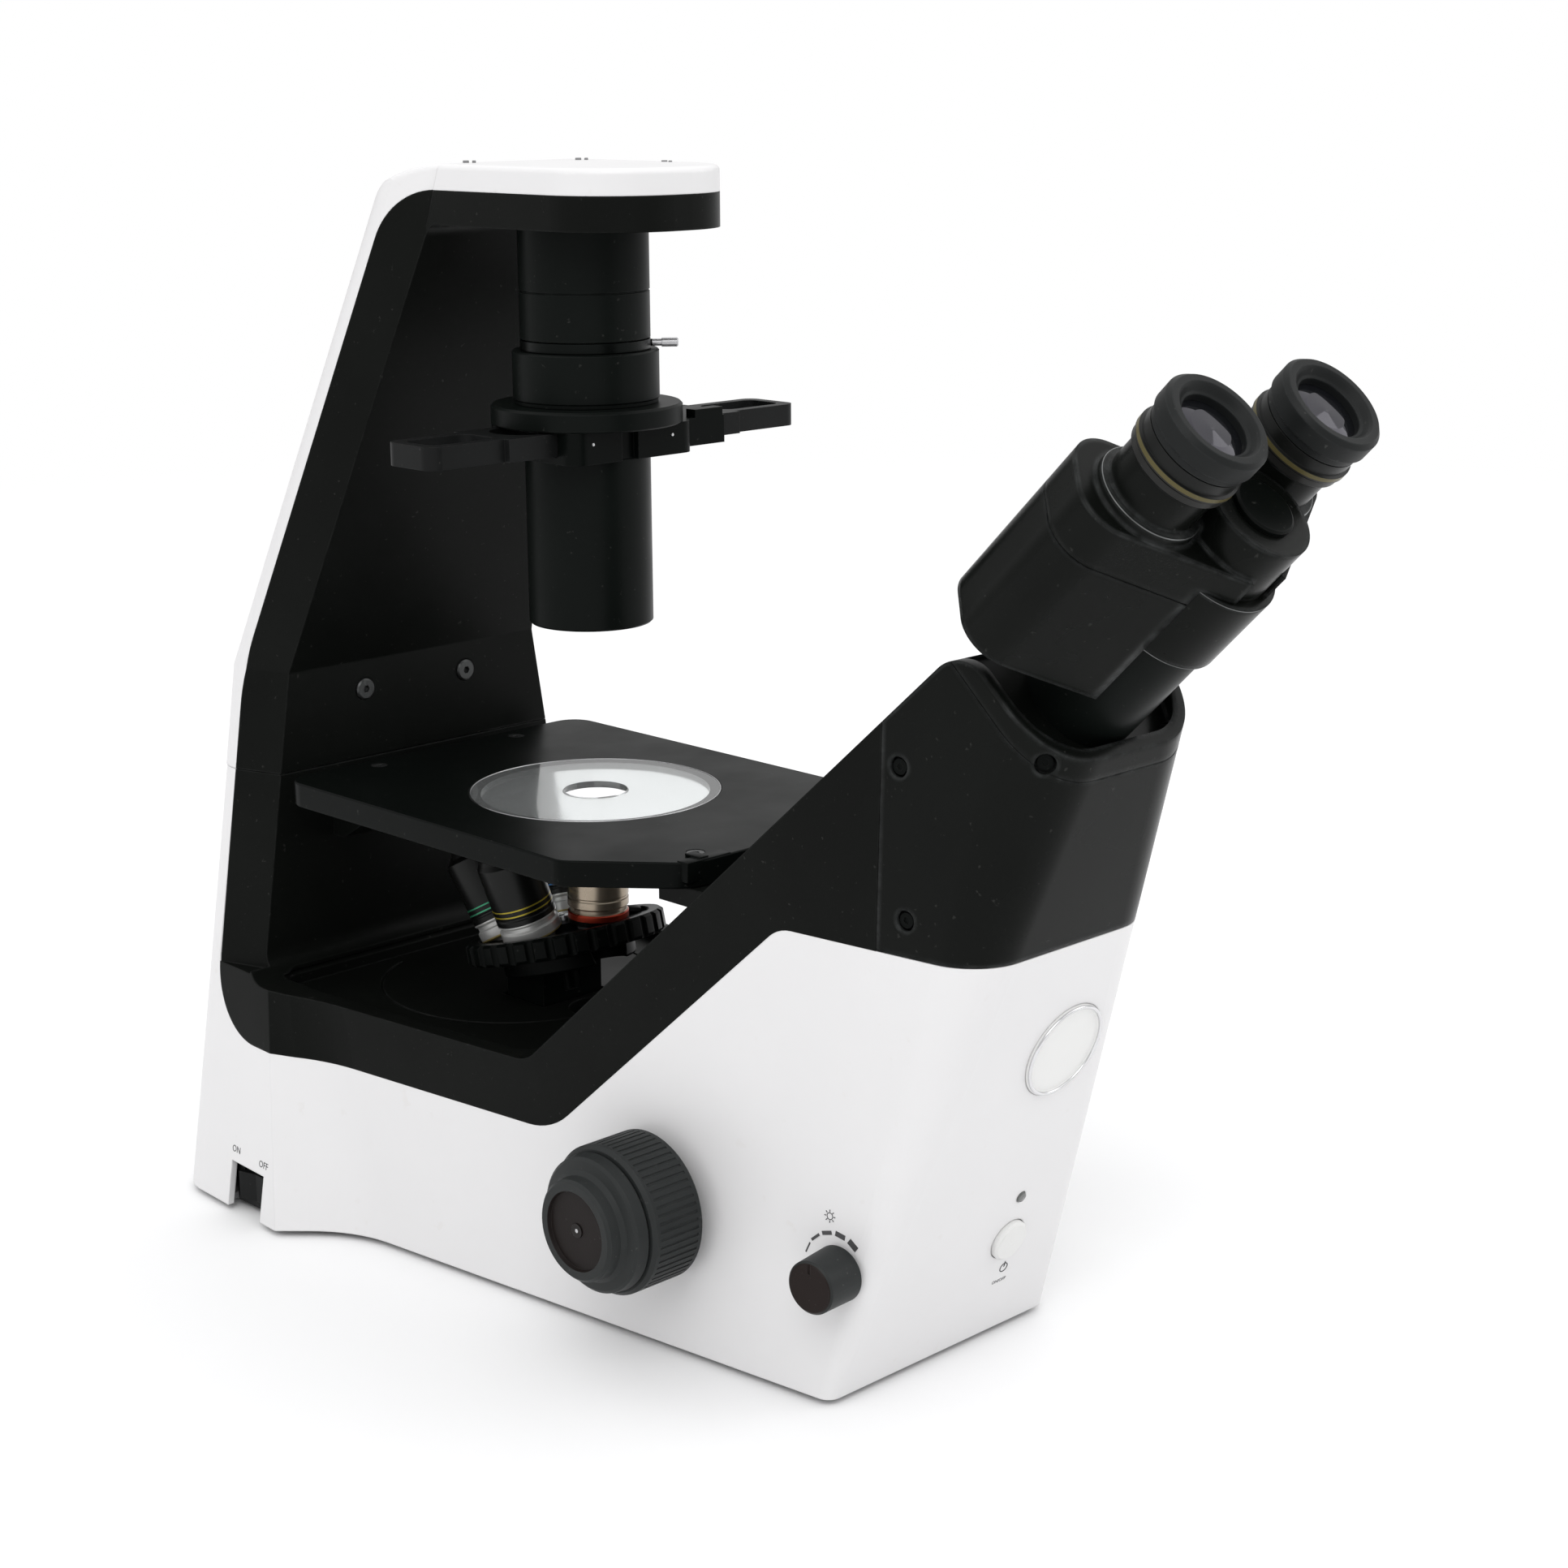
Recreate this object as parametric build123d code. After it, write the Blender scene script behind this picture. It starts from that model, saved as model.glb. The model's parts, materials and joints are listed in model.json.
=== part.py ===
from build123d import *
import os
from math import atan, cos, degrees, pi, radians, sin, sqrt, tan

# Inverted microscope, in millimetres, +Z up, -Y towards the user, +X to the user's right.
# Everything is drawn from the optical axis (x = y = 0) and the bench (z = 0), and moved
# at the end so that the middle of the whole stand lies over the origin.

# Driving dimensions of the stand
stage_height = 200.0        # bench to the top of the stage
foot_gap = 3.0              # bench to the lower edge of the white base
side_slope = 0.155          # how fast the sides draw in with height
rear_half_width = 84.8      # half width at the back of the black band, at stage height
pillar_front_y = 126.5      # front face of the pillar, where it stands upright
band_depth = 24.0           # front face of the pillar to the white cover
band_bevel = 7.8            # how far the black band draws in towards the front
back_corner = 22.0          # round of the upright rear corners
lean = 0.372                # forward lean of the pillar, run over rise
lean_height = 43.5          # the lean starts this far above the stage
pillar_joint = -2.0         # joint of pillar and base, from the stage top
wall = 3.0                  # moulded covers
casting_wall = 5.0          # cast frame

# Head of the pillar
head_underside = 242.0      # above the stage
head_depth = 14.3           # black casting of the head
cap_depth = 10.7            # white cover on the head
head_half_width = 40.0
head_tip_y = -62.0
head_tip_round = 35.0
head_fillet = 8.0
band_round = 31.3           # black casting at the back of the head
cover_round = 62.0          # white cover there
cover_edge = 2.5

# Lower body, seen from the side
sill_drop = 121.0           # stage top to the lower edge of the black band
rim_drop = 94.0             # stage top to the rim of the well
floor_drop = 100.0          # stage top to the floor of the well
floor_thickness = 8.0
well_edge = 1.2
heel_y = -58.4              # where the black band turns up to the tower
shoulder_y = -176.0         # where it turns level again
chin_drop = 11.5            # stage top to the level edge on the tower
toe_y = -44.0               # front end of the well
slope_rise = 0.951          # rise over run of the tower's rear slope
groove_radius = 63.0        # ring groove in the floor of the well
groove_y = 57.0

# Lower body, seen from above
flank_lead = 5.0            # the flanks are this much wider at the foot of the crease
crease_y = 86.0             # crease at the front of the flank, at the foot
crease_run = 0.224          # and how fast it moves back with height
flare_run = 26.0
flare_round = 60.0
waist_half_width = 94.0     # half width of the front part, 53 mm behind the axis
waist_y = 53.0
waist_taper = 0.115
waist_draft = 0.0343
front_y = -206.0            # front face at the foot
front_lean = 0.340
front_corner = 6.0          # upright front corner at the foot
front_corner_growth = 0.091

# Tower and its rim
rim_reach = 363.5           # the rim plane: height above the stage minus y
seam_y = -222.0
rim_lip = 5.0
rim_pocket = 8.0
rim_line_drop = 7.5
seam_gap = 0.3

# Column over the stage
tube_wall = 2.5
lamp_radius = 27.4
lamp_seam = 215.5
collar_radius = 30.9
collar_heights = (169.0, 191.0)
lever_ring_top = 195.6
flange_radius = 40.5
flange_heights = (160.3, 168.8)
holder_bottom = 147.0
condenser_radius = 26.6
condenser_bottom = 75.0
beam_radius = 12.0

# Phase slider
slider_half_depth = 18.0
slider_heights = (150.3, 159.8)
slider_left = -95.0
slider_right = 110.0
slider_tray = (-57.0, 72.0)
slider_step = 35.0
slide_gap = 0.3

# Stage
stage_half_width = 85.0
stage_rear_y = 113.0
stage_front_y = -116.7
stage_thickness = 11.0
stage_relief_radius = 72.0
stage_relief_depth = 5.0
insert_radius = 55.0
insert_thickness = 3.0
insert_hole = 14.0
stage_opening = 50.0
stage_edge = 0.8

# Nosepiece
nose_tilt = 15.0
objective_circle = 25.0
parfocal = 60.0
turret_radius = 45.0
turret_thickness = 10.7
turret_seats = 5
rib_count = 30
mount_radius = 30.0
pivot_radius = 5.0
running_fit = 0.05
lift_up = 7.0
lift_down = 1.5

# Focus drive
focus_y = -119.5
focus_height = 64.8         # above the bench
focus_seat = 77.6           # inner face of the coarse knob, from the middle
coarse_radius = 30.7
coarse_length = 26.0
fine_radius = 28.3
fine_step = 110.5
fine_front_radius = 20.4
fine_face = 118.6
sleeve_radius = 7.0
fine_shaft_radius = 3.0
gear_module = 0.75
pinion_teeth = 16
pinion_width = 10.0
tooth_play = 0.12

# Small controls
dimmer_y = -210.0
dimmer_height = 58.5
dimmer_radius = 11.3
dimmer_length = 20.0
button_x = 21.2
button_height = 50.0
button_radius = 9.0
button_travel = 2.0
led_height = 70.0
badge_x = 17.0
badge_height = 139.0
badge_radius = 20.5
switch_y = (99.0, 126.0)
switch_top = 24.0
rocker_size = (19.0, 13.0)

# Binocular head
eye_point = (0.0, -353.4, 394.4)   # between the eyepiece rims
eye_spacing = 64.2
prism_arm = 38.0            # central axis to each eyepiece axis
closing = 16.5              # degrees each arm swings in for the narrowest eyes
opening = 23.1              # and out for the widest
eyepiece_radius = 20.5
eyetube_radius = 17.5
prism_half = 22.0
prism_reach = 28.0
prism_span = (42.0, 115.0)
prism_seam_depth = 60.0
hub_cap_radius = 20.1
hub_radius = 24.3
hub_split = 52.7
hub_end = 86.4
mount_tube_radius = 22.0
pivot_shaft_radius = 8.0

# Fasteners
foot_radius = 11.0
screw_radius = 3.0


# Shapes used all over

def filled(*points, rounds=0):
    if rounds == 0:
        return make_face(Polyline(*points, close=True).edges())
    return make_face(FilletPolyline(*points, radius=rounds, close=True).edges())


def block(xs, ys, zs):
    sizes = [high - low for low, high in (xs, ys, zs)]
    middle = [(high + low) / 2 for low, high in (xs, ys, zs)]
    return Pos(*middle) * Box(*sizes)


def disc(radius, bottom, top, place=Plane.XY):
    return place * Pos(0, 0, (bottom + top) / 2) * Cylinder(radius, top - bottom)


def ring(outer, inner, bottom, top, place=Plane.XY):
    return disc(outer, bottom, top, place) - disc(inner, bottom - 1, top + 1, place)


def turned(points, place=Plane.XY, rounds=0):
    # points are (radius, height) pairs, turned about the height axis
    return place * revolve(Plane.XZ * filled(*points, rounds=rounds), Axis.Z)


def across(points, half_width, rounds=0):
    # an outline in the Y-Z plane, as thick as the two half widths
    return Plane.YZ.offset(-half_width) * extrude(filled(*points, rounds=rounds), 2 * half_width)


def both_sides(piece):
    return piece + mirror(piece, Plane.YZ)


def mirrored(points):
    return points + [(-x, y) for x, y in reversed(points)]


def at_stage(rise):
    return stage_height + rise


# Places worked out from the driving dimensions

boundary_y = pillar_front_y + band_depth
back_y = boundary_y + back_corner
split_z = at_stage(pillar_joint)
rim_z = at_stage(-rim_drop)
sill_z = at_stage(-sill_drop)
chin_z = at_stage(-chin_drop)
floor_z = at_stage(-floor_drop)
stage_z = stage_height
beyond = 60.0               # cutters run this far past what they cut


def flank(z):
    return rear_half_width - side_slope * (z - stage_height)


def waist(y, z):
    return waist_half_width + waist_taper * (y - waist_y) - waist_draft * (z - foot_gap)


def front(z):
    return front_y - front_lean * (z - foot_gap)


def front_round(z):
    return front_corner + front_corner_growth * (z - foot_gap)


def crease(z):
    return crease_y + crease_run * (z - foot_gap)


def rim_plane_z(y):
    return stage_height + rim_reach + y


def slope_z(y):
    return rim_z + slope_rise * (toe_y - y)


crest_y = (rim_z + slope_rise * toe_y - stage_height - rim_reach) / (1 + slope_rise)
crest_z = rim_plane_z(crest_y)


# The lower body as one closed form, inset by a wall for its inside

def body_section(z, inset=0.0):
    flare_y = crease(z) - flare_run
    nose_y = front(z) + inset
    lead = flank_lead * (split_z - z) / (split_z - foot_gap)
    points = [
        (flank(z) - inset, back_y - inset),
        (flank(z) + lead - inset, crease(z)),
        (waist(flare_y, z) - inset, flare_y),
        (waist(nose_y, z) - inset, nose_y),
    ]
    rounds = [back_corner - inset, 0, flare_round, max(front_round(z) - inset, 1)]
    return Pos(0, 0, z) * filled(*mirrored(points), rounds=rounds + rounds[::-1])


def tower_section(z, inset=0.0):
    nose_y = front(z) + inset
    points = [
        (waist(heel_y, z) - inset, heel_y),
        (waist(nose_y, z) - inset, nose_y),
    ]
    rounds = [0, max(front_round(z) - inset, 1)]
    return Pos(0, 0, z) * filled(*mirrored(points), rounds=rounds + rounds[::-1])


def lower_form(inset=0.0):
    top = crest_z + 4
    low = foot_gap - min(inset, 2)
    body = loft([body_section(low, inset), body_section(split_z, inset)], ruled=True)
    tower = loft([tower_section(split_z, inset), tower_section(top, inset)], ruled=True)
    return body + tower


# Outlines of the two colours, seen from the side

def black_edge():
    return [(boundary_y, sill_z), (heel_y, sill_z), (shoulder_y, chin_z)]


edge_rounds = [34.0, 32.0, 15.0]


def base_outline():
    far = front(split_z) - beyond
    points = [(back_y + beyond, 0), (back_y + beyond, split_z), (boundary_y, split_z)]
    points = points + black_edge() + [(far, chin_z), (far, 0)]
    return across(points, 2 * rear_half_width, rounds=[0, 0, 0] + edge_rounds + [0, 0])


def well_outline():
    return [(pillar_front_y, rim_z), (toe_y, rim_z), (crest_y, crest_z)]


well_rounds = [12.0, 15.0, 14.0]


def frame_outline():
    far = front(split_z) - beyond
    points = [(pillar_front_y, split_z)] + well_outline()
    points = points + [(far, rim_plane_z(far)), (far, chin_z)]
    points = points + black_edge()[::-1] + [(boundary_y, split_z)]
    rounds = [0] + well_rounds + [0, 0] + edge_rounds[::-1] + [0]
    return across(points, 2 * rear_half_width, rounds=rounds)


def frame_cavity():
    # the inside of the casting, open towards the base below
    ceiling = floor_z - floor_thickness
    cover = 12.0            # upright thickness left along the slope
    far = seam_y - 20
    points = [
        (pillar_front_y - 2 * casting_wall, foot_gap),
        (pillar_front_y - 2 * casting_wall, ceiling),
        (toe_y + (rim_z - cover - ceiling) / slope_rise, ceiling),
        (far, slope_z(far) - cover),
        (far, foot_gap),
    ]
    return lower_form(casting_wall) & across(points, 2 * rear_half_width)


def band_bevels():
    # the upright band draws in towards its front edge
    past = 2.0
    draw = band_bevel / band_depth

    def section(z):
        outer = flank(z) + 2 * flank_lead
        points = [
            (flank(z) + past * draw, boundary_y + past),
            (flank(z) - band_bevel - past * draw, pillar_front_y - past),
            (outer, pillar_front_y - past),
            (outer, boundary_y + past),
        ]
        return Pos(0, 0, z) * filled(*points)
    return both_sides(loft([section(rim_z + 4), section(split_z + 1)], ruled=True))


def make_base_shell():
    shell = lower_form() & base_outline()
    inside = lower_form(wall) & across(
        [(-2 * beyond + front_y, -1), (back_y, -1), (back_y, split_z - wall),
         (-2 * beyond + front_y, split_z - wall)], 2 * rear_half_width)
    shell = shell - inside
    shell = shell - focus_holes() - dimmer_hole() - front_holes() - switch_notch() - inlet_hole()
    return shell


def make_main_frame():
    frame = (lower_form() & frame_outline()) - frame_cavity()
    seam = block((-100, 100), (seam_y - 200, seam_y), (chin_z - 0.1, crest_z + beyond))
    frame = frame - seam - band_bevels()
    pocket = floor_pocket()
    beam = disc(beam_radius + 2, sill_z - 1, rim_z)
    window = block((-carriage_half - 2, carriage_half + 2), (post_y[0] - 2, post_y[1] + 2),
                   (sill_z - 1, rim_z))
    groove = Pos(0, groove_y, 0) * ring(groove_radius, groove_radius - 1.2, floor_z - 0.8, floor_z + 1)
    groove = groove & block((-beyond - 10, beyond + 10), (toe_y + 12, 115), (floor_z - 1, floor_z + 1))
    frame = frame - pocket
    return frame - groove - beam - window - light_path(13.0)


def floor_pocket():
    # the floor lies lower than the rim round it
    border = 9.0
    points = [
        (rear_half_width, pillar_front_y - 4),
        (rear_half_width, crease(rim_z) - 16),
        (waist(20, rim_z) - border, 20),
        (waist(toe_y, rim_z) - border, toe_y + 8),
    ]
    outline = filled(*mirrored(points), rounds=[8, 10, 30, 10, 10, 30, 10, 8])
    lip = Pos(0, 0, rim_z - well_edge) * extrude(outline, 2 * well_edge, taper=-45)
    return Pos(0, 0, floor_z) * extrude(outline, rim_drop) + lip


def rim_line():
    # fine moulded line that follows the rim
    high = rim_line_drop * sqrt(2)
    low = high + 1.0
    return (lower_form() - lower_form(0.5)) & across([
        (crest_y + high / 2, rim_plane_z(crest_y + high / 2) - high),
        (crest_y + low / 2, rim_plane_z(crest_y + low / 2) - low),
        (crest_y - 100, rim_plane_z(crest_y - 100) - low),
        (crest_y - 100, rim_plane_z(crest_y - 100) - high)], 2 * rear_half_width)


def make_tower_cover():
    outline = [
        (seam_y - seam_gap, chin_z + seam_gap),
        (seam_y - seam_gap, crest_z + beyond),
        (crest_y, crest_z + beyond),
        (front(split_z) - 2 * beyond, crest_z + beyond),
        (front(split_z) - 2 * beyond, chin_z + seam_gap),
    ]
    below_rim = across([
        (crest_y + 200, slope_z(crest_y + 200)), (crest_y, crest_z),
        (crest_y - 200, rim_plane_z(crest_y - 200)), (crest_y - 200, 0), (crest_y + 200, 0)],
        2 * rear_half_width, rounds=[0, well_rounds[2], 0, 0, 0])
    cover = lower_form() & across(outline, 2 * rear_half_width) & below_rim
    deep = rim_pocket + 4.0
    inside = lower_form(wall) & across([
        (seam_y + 1, chin_z - 1), (seam_y + 1, rim_plane_z(seam_y) - beyond),
        (seam_y - 4, slope_z(seam_y) - 12),
        (crest_y, rim_plane_z(crest_y) - deep * sqrt(2)),
        (crest_y - 100, rim_plane_z(crest_y - 100) - deep * sqrt(2)),
        (crest_y - 100, chin_z - 1)], 2 * rear_half_width)
    back = crest_y - 1.6
    sunk = rim_pocket / sqrt(2)
    pocket = lower_form(rim_lip) & across([
        (back + sunk, rim_plane_z(back) - sunk), (back - beyond, rim_plane_z(back) + beyond),
        (back - 2 * beyond, rim_plane_z(back) + beyond),
        (back - 2 * beyond, rim_plane_z(back) - 2 * beyond - 2 * sunk)], 2 * rear_half_width)
    cover = cover - inside - pocket - rim_line()
    return cover - light_path(spigot_radius + 0.05) - tower_screw_holes()


# The tilted light path from the mirror to the binocular

tube_tilt = 45.0
tube_axis = (0, -sin(radians(tube_tilt)), cos(radians(tube_tilt)))
across_tubes = (0, cos(radians(tube_tilt)), sin(radians(tube_tilt)))
hub_offset = sqrt(prism_arm ** 2 - (eye_spacing / 2) ** 2)
mirror_height = eye_point[2] + eye_point[1] - hub_offset * sqrt(2)


def eye_place(p=0.0, t=0.0, x=0.0):
    # p is measured down from the eyepiece plane's middle, t down along the tubes
    y = eye_point[1] - p * across_tubes[1] - t * tube_axis[1]
    z = eye_point[2] - p * across_tubes[2] - t * tube_axis[2]
    return (x, y, z)


def tube_plane(p=0.0, t=0.0, x=0.0):
    return Plane(origin=eye_place(p, t, x), x_dir=(1, 0, 0), z_dir=tube_axis)


hub_top = tube_plane(hub_offset)


def light_path(radius):
    return disc(radius, -420, -hub_end, hub_top)


# Openings in the shells

def focus_place(x):
    return Plane(origin=(x, focus_y, focus_height), x_dir=(0, 1, 0), z_dir=(1, 0, 0))


def focus_holes():
    return disc(sleeve_radius + 3.3, -100, 100, focus_place(0))


def dimmer_plane():
    turn = degrees(atan(waist_taper))
    x = -waist(dimmer_y, dimmer_height)
    normal = (-cos(radians(turn)), -sin(radians(turn)), 0)
    return Plane(origin=(x, dimmer_y, dimmer_height), x_dir=(sin(radians(turn)), -cos(radians(turn)), 0),
                 z_dir=normal)


def dimmer_hole():
    return disc(4.0, -10, 10, dimmer_plane())


def face_plane(x, height):
    turn = atan(front_lean)
    return Plane(origin=(x, front(height), height), x_dir=(1, 0, 0), z_dir=(0, -cos(turn), -sin(turn)))


def front_holes():
    button = disc(button_radius + 0.4, -20, 20, face_plane(button_x, button_height))
    led = disc(2.6, -20, 20, face_plane(button_x, led_height))
    badge = disc(badge_radius + 0.3, -0.6, 20, face_plane(badge_x, badge_height))
    return button + led + badge


def switch_notch():
    return block((-140, -100), switch_y, (-1, switch_top))


def inlet_hole():
    return Plane(origin=(-60, back_y, 28), x_dir=(1, 0, 0), z_dir=(0, 1, 0)) * Cylinder(6.2, 30)


def side_place(side, y, z):
    # a point on the flat side of the tower with the direction out of it
    turn = atan(waist_taper)
    return Plane(origin=(side * waist(y, z), y, z), x_dir=(side * sin(turn), cos(turn), 0),
                 z_dir=(side * cos(turn), -sin(turn), 0))


def corner_place(side, turn, z):
    # a point on the round front corner, turned forward from the side
    radius = front_round(z)
    x = waist(front(z), z) - radius * (1 - cos(radians(turn)))
    y = front(z) + radius * (1 - sin(radians(turn)))
    out = (side * cos(radians(turn)), -sin(radians(turn)), 0)
    return Plane(origin=(side * x, y, z), x_dir=(side * out[1] * side, -out[0] * side, 0), z_dir=out)


def tower_screw_places():
    places = []
    for side in (-1, 1):
        places.append(side_place(side, -230.0, at_stage(59.5)))
        places.append(side_place(side, -235.0, at_stage(2.5)))
        places.append(corner_place(side, 42.0, at_stage(68.0)))
    return places


def tower_screw_holes():
    holes = []
    for place in tower_screw_places():
        holes.append(disc(screw_radius + 1.0, -2.4, 5, place))
        holes.append(disc(1.6, -6, 5, place))
    return Compound(holes)


def make_tower_screws():
    screws = []
    for place in tower_screw_places():
        head = disc(screw_radius, -2.3, -0.9, place) + disc(1.5, -5.8, -2.3, place)
        socket = place * Pos(0, 0, -1.5) * extrude(RegularPolygon(1.4, 6), 2)
        screws.append(head - socket)
    return Compound(screws)


# Pillar and head

def pillar_y(z):
    rise = z - stage_height - lean_height
    return pillar_front_y - lean * max(rise, 0)


head_z = at_stage(head_underside)
cap_z = head_z + head_depth
top_z = cap_z + cap_depth


def pillar_outline(front_shift, back_shift, low, high, bottom, rounds):
    # side view of the pillar with its head, between two offsets from the front face
    bend = at_stage(lean_height)
    inner = [(pillar_front_y + front_shift, bottom), (pillar_front_y + front_shift, bend),
             (pillar_y(low) + front_shift, low), (head_tip_y - beyond, low)]
    outer = [(head_tip_y - beyond, high), (pillar_y(high) + back_shift, high),
             (pillar_front_y + back_shift, bend), (pillar_front_y + back_shift, bottom)]
    return across(inner + outer, 2 * rear_half_width, rounds=[0, bend_round, rounds[0], 0, 0,
                                                             rounds[1], bend_round, 0])


bend_round = 90.0


def pillar_plan(z, inset=0.0):
    y = pillar_y(z)
    points = [
        (flank(z) - band_bevel - inset, y),
        (flank(z) - inset, y + band_depth),
        (flank(z) - inset, y + band_depth + back_corner - inset),
    ]
    rounds = [0, 0, back_corner - 1 - inset]
    return Pos(0, 0, z) * filled(*mirrored(points), rounds=rounds + rounds[::-1])


def head_plan(z, inset=0.0):
    points = [
        (head_half_width - inset, pillar_y(z) + 1),
        (head_half_width - inset, head_tip_y + inset),
    ]
    rounds = [0, head_tip_round - inset]
    return Pos(0, 0, z) * filled(*mirrored(points), rounds=rounds + rounds[::-1])


def upper_form(inset=0.0):
    bend = at_stage(lean_height)
    pillar = loft([pillar_plan(split_z, inset), pillar_plan(bend, inset)], ruled=True)
    pillar = pillar + loft([pillar_plan(bend, inset), pillar_plan(top_z, inset)], ruled=True)
    head = loft([head_plan(head_z - 20, inset), head_plan(top_z - inset, inset)], ruled=True)
    return pillar + head


def make_pillar_frame():
    outline = pillar_outline(0, band_depth, head_z, cap_z, split_z + seam_gap,
                             (head_fillet, band_round))
    frame = upper_form() & outline
    frame = frame - disc(lamp_radius - tube_wall, head_z - 1, cap_z - 3)
    for side in (-1, 1):
        frame = frame - disc(5.2, -2.0, 5, cap_screw_plane(side)) - disc(2.1, -14, 5, cap_screw_plane(side))
    return frame


def make_pillar_cover():
    outer = pillar_outline(band_depth, band_depth + back_corner, cap_z, top_z, split_z + seam_gap,
                           (band_round, cover_round))
    inner = pillar_outline(band_depth - 1, band_depth + back_corner - wall, cap_z - 1, top_z - wall,
                           split_z, (band_round, cover_round - wall))
    cover = (upper_form() & outer) - (upper_form(wall) & inner)
    top = cover.faces().sort_by(Axis.Z)[-1]
    return fillet(top.outer_wire().edges(), cover_edge)


def cap_screw_plane(side):
    return Plane(origin=(side * 29.0, pillar_front_y, at_stage(30.0)), x_dir=(1, 0, 0), z_dir=(0, -1, 0))


def make_pillar_screws():
    screws = []
    for side in (-1, 1):
        place = cap_screw_plane(side)
        head = turned([(0, -2), (4.9, -2), (4.9, 0.6), (4.2, 1.2), (0, 1.2)], place)
        head = head + disc(2.0, -13.5, -2, place)
        socket = place * Pos(0, 0, -0.6) * extrude(RegularPolygon(1.8, 6), 3)
        screws.append(head - socket)
    return Compound(screws)


# Stage

def make_stage_plate():
    points = [(stage_half_width, stage_rear_y), (stage_half_width, -76.0), (50.0, stage_front_y)]
    outline = filled(*mirrored(points), rounds=[12, 10, 18, 18, 10, 12])
    bottom = stage_z - stage_thickness
    plate = Pos(0, 0, bottom) * extrude(outline, stage_thickness)
    plate = plate - disc(stage_opening, bottom - 1, stage_z + 1)
    plate = plate - disc(insert_radius + 0.15, stage_z - insert_thickness, stage_z + 1)
    plate = plate - disc(stage_relief_radius, bottom - 1, bottom + stage_relief_depth)
    faces = plate.faces().sort_by(Axis.Z)
    plate = fillet(faces[0].outer_wire().edges() + faces[-1].outer_wire().edges(), stage_edge)
    for x, y in stage_screw_spots():
        plate = plate - Pos(x, y, 0) * (disc(3.9, stage_z - 3.2, stage_z + 1)
                                        + disc(2.2, bottom - 1, stage_z))
    for y in attachment_spots:
        plate = plate - Pos(stage_half_width - 10, y, bottom + 4) * Cylinder(1.65, 8 + 0.02)
    return plate


attachment_spots = (-30.0, 30.0)


def stage_screw_spots():
    return [(-40.0, 103.0), (40.0, 103.0), (-38.0, -105.0), (38.0, -105.0)]


def make_cap_screws():
    return Compound(make_pillar_screws().solids() + make_stage_screws().solids())


def make_stage_screws():
    screws = []
    for x, y in stage_screw_spots():
        head = disc(3.7, stage_z - 3.1, stage_z - 0.2) + disc(2.0, stage_z - 16, stage_z - 3.1)
        socket = Pos(0, 0, stage_z - 2) * extrude(RegularPolygon(1.7, 6), 3)
        screws.append(Pos(x, y, 0) * (head - socket))
    return Compound(screws)


def make_stage_brackets():
    bottom = stage_z - stage_thickness
    web = 8.0
    outer, inner = 50.0, 28.0
    rear_y = 92.0
    rear = across([(pillar_front_y, bottom), (pillar_front_y, bottom - 3 * web),
                   (pillar_front_y - web, bottom - 3 * web), (rear_y, bottom - web), (rear_y, bottom)], outer)
    slope_low = toe_y - (bottom - web - rim_z) / slope_rise
    slope_high = toe_y - (bottom - rim_z) / slope_rise
    arms = across([(-96.0, bottom), (-96.0, bottom - web), (slope_low, bottom - web),
                   (slope_high, bottom)], outer)
    arms = arms - block((-inner, inner), (-200, -80), (bottom - 20, bottom + 5))
    for x, y in stage_screw_spots():
        bore = Pos(x, y, 0) * disc(2.0, bottom - 6, bottom + 1)
        rear = rear - bore
        arms = arms - bore
    return Compound([rear] + arms.solids())


def make_stage_insert():
    radius = insert_radius
    bottom = stage_z - insert_thickness
    profile = [(insert_hole + 0.5, bottom), (radius, bottom), (radius, stage_z - 0.5), (radius - 0.5, stage_z),
               (insert_hole, stage_z), (insert_hole, bottom + 0.5)]
    return turned(profile)


# Column over the stage

def make_lamp_tube():
    top = at_stage(head_underside)
    seam = at_stage(lamp_seam)
    bottom = at_stage(lever_ring_top)
    bore = lamp_radius - tube_wall
    profile = [(bore, bottom), (lamp_radius - 0.4, bottom), (lamp_radius, bottom + 0.4),
               (lamp_radius, seam - 0.5), (lamp_radius - 0.6, seam), (lamp_radius, seam + 0.5),
               (lamp_radius, top), (bore - tube_wall, top), (bore - tube_wall, top - 3), (bore, top - 6)]
    return turned(profile)


def make_lamp_led():
    # the lamp's board with its domed light source
    top = at_stage(head_underside) - 7
    bore = lamp_radius - tube_wall
    return turned([(0, top), (bore, top), (bore, top - 5), (5, top - 5), (5, top - 6.5), (3, top - 8.5),
                   (0, top - 9.2)])


def make_collector_lens():
    middle = at_stage(lamp_seam)
    rim = lamp_radius - tube_wall
    crown = 5.0
    sphere = (rim ** 2 + crown ** 2) / (2 * crown)
    lens = disc(rim, middle - 2, middle + 2)
    dome = Pos(0, 0, middle + 2 + crown - sphere) * Sphere(sphere)
    return lens + (dome & disc(rim, middle + 2, middle + 12))


def make_condenser_collar():
    bottom, top = (at_stage(z) for z in collar_heights)
    bore = lamp_radius - tube_wall
    profile = [(beam_radius + 6, bottom), (collar_radius - 0.6, bottom), (collar_radius - 0.6, bottom + 1.4),
               (collar_radius, bottom + 2), (collar_radius, top - 0.6), (collar_radius - 0.6, top),
               (bore - 0.6, top), (bore - 0.6, bottom + 4), (beam_radius + 6, bottom + 4)]
    return turned(profile)


pin_reach = 39.0


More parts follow.
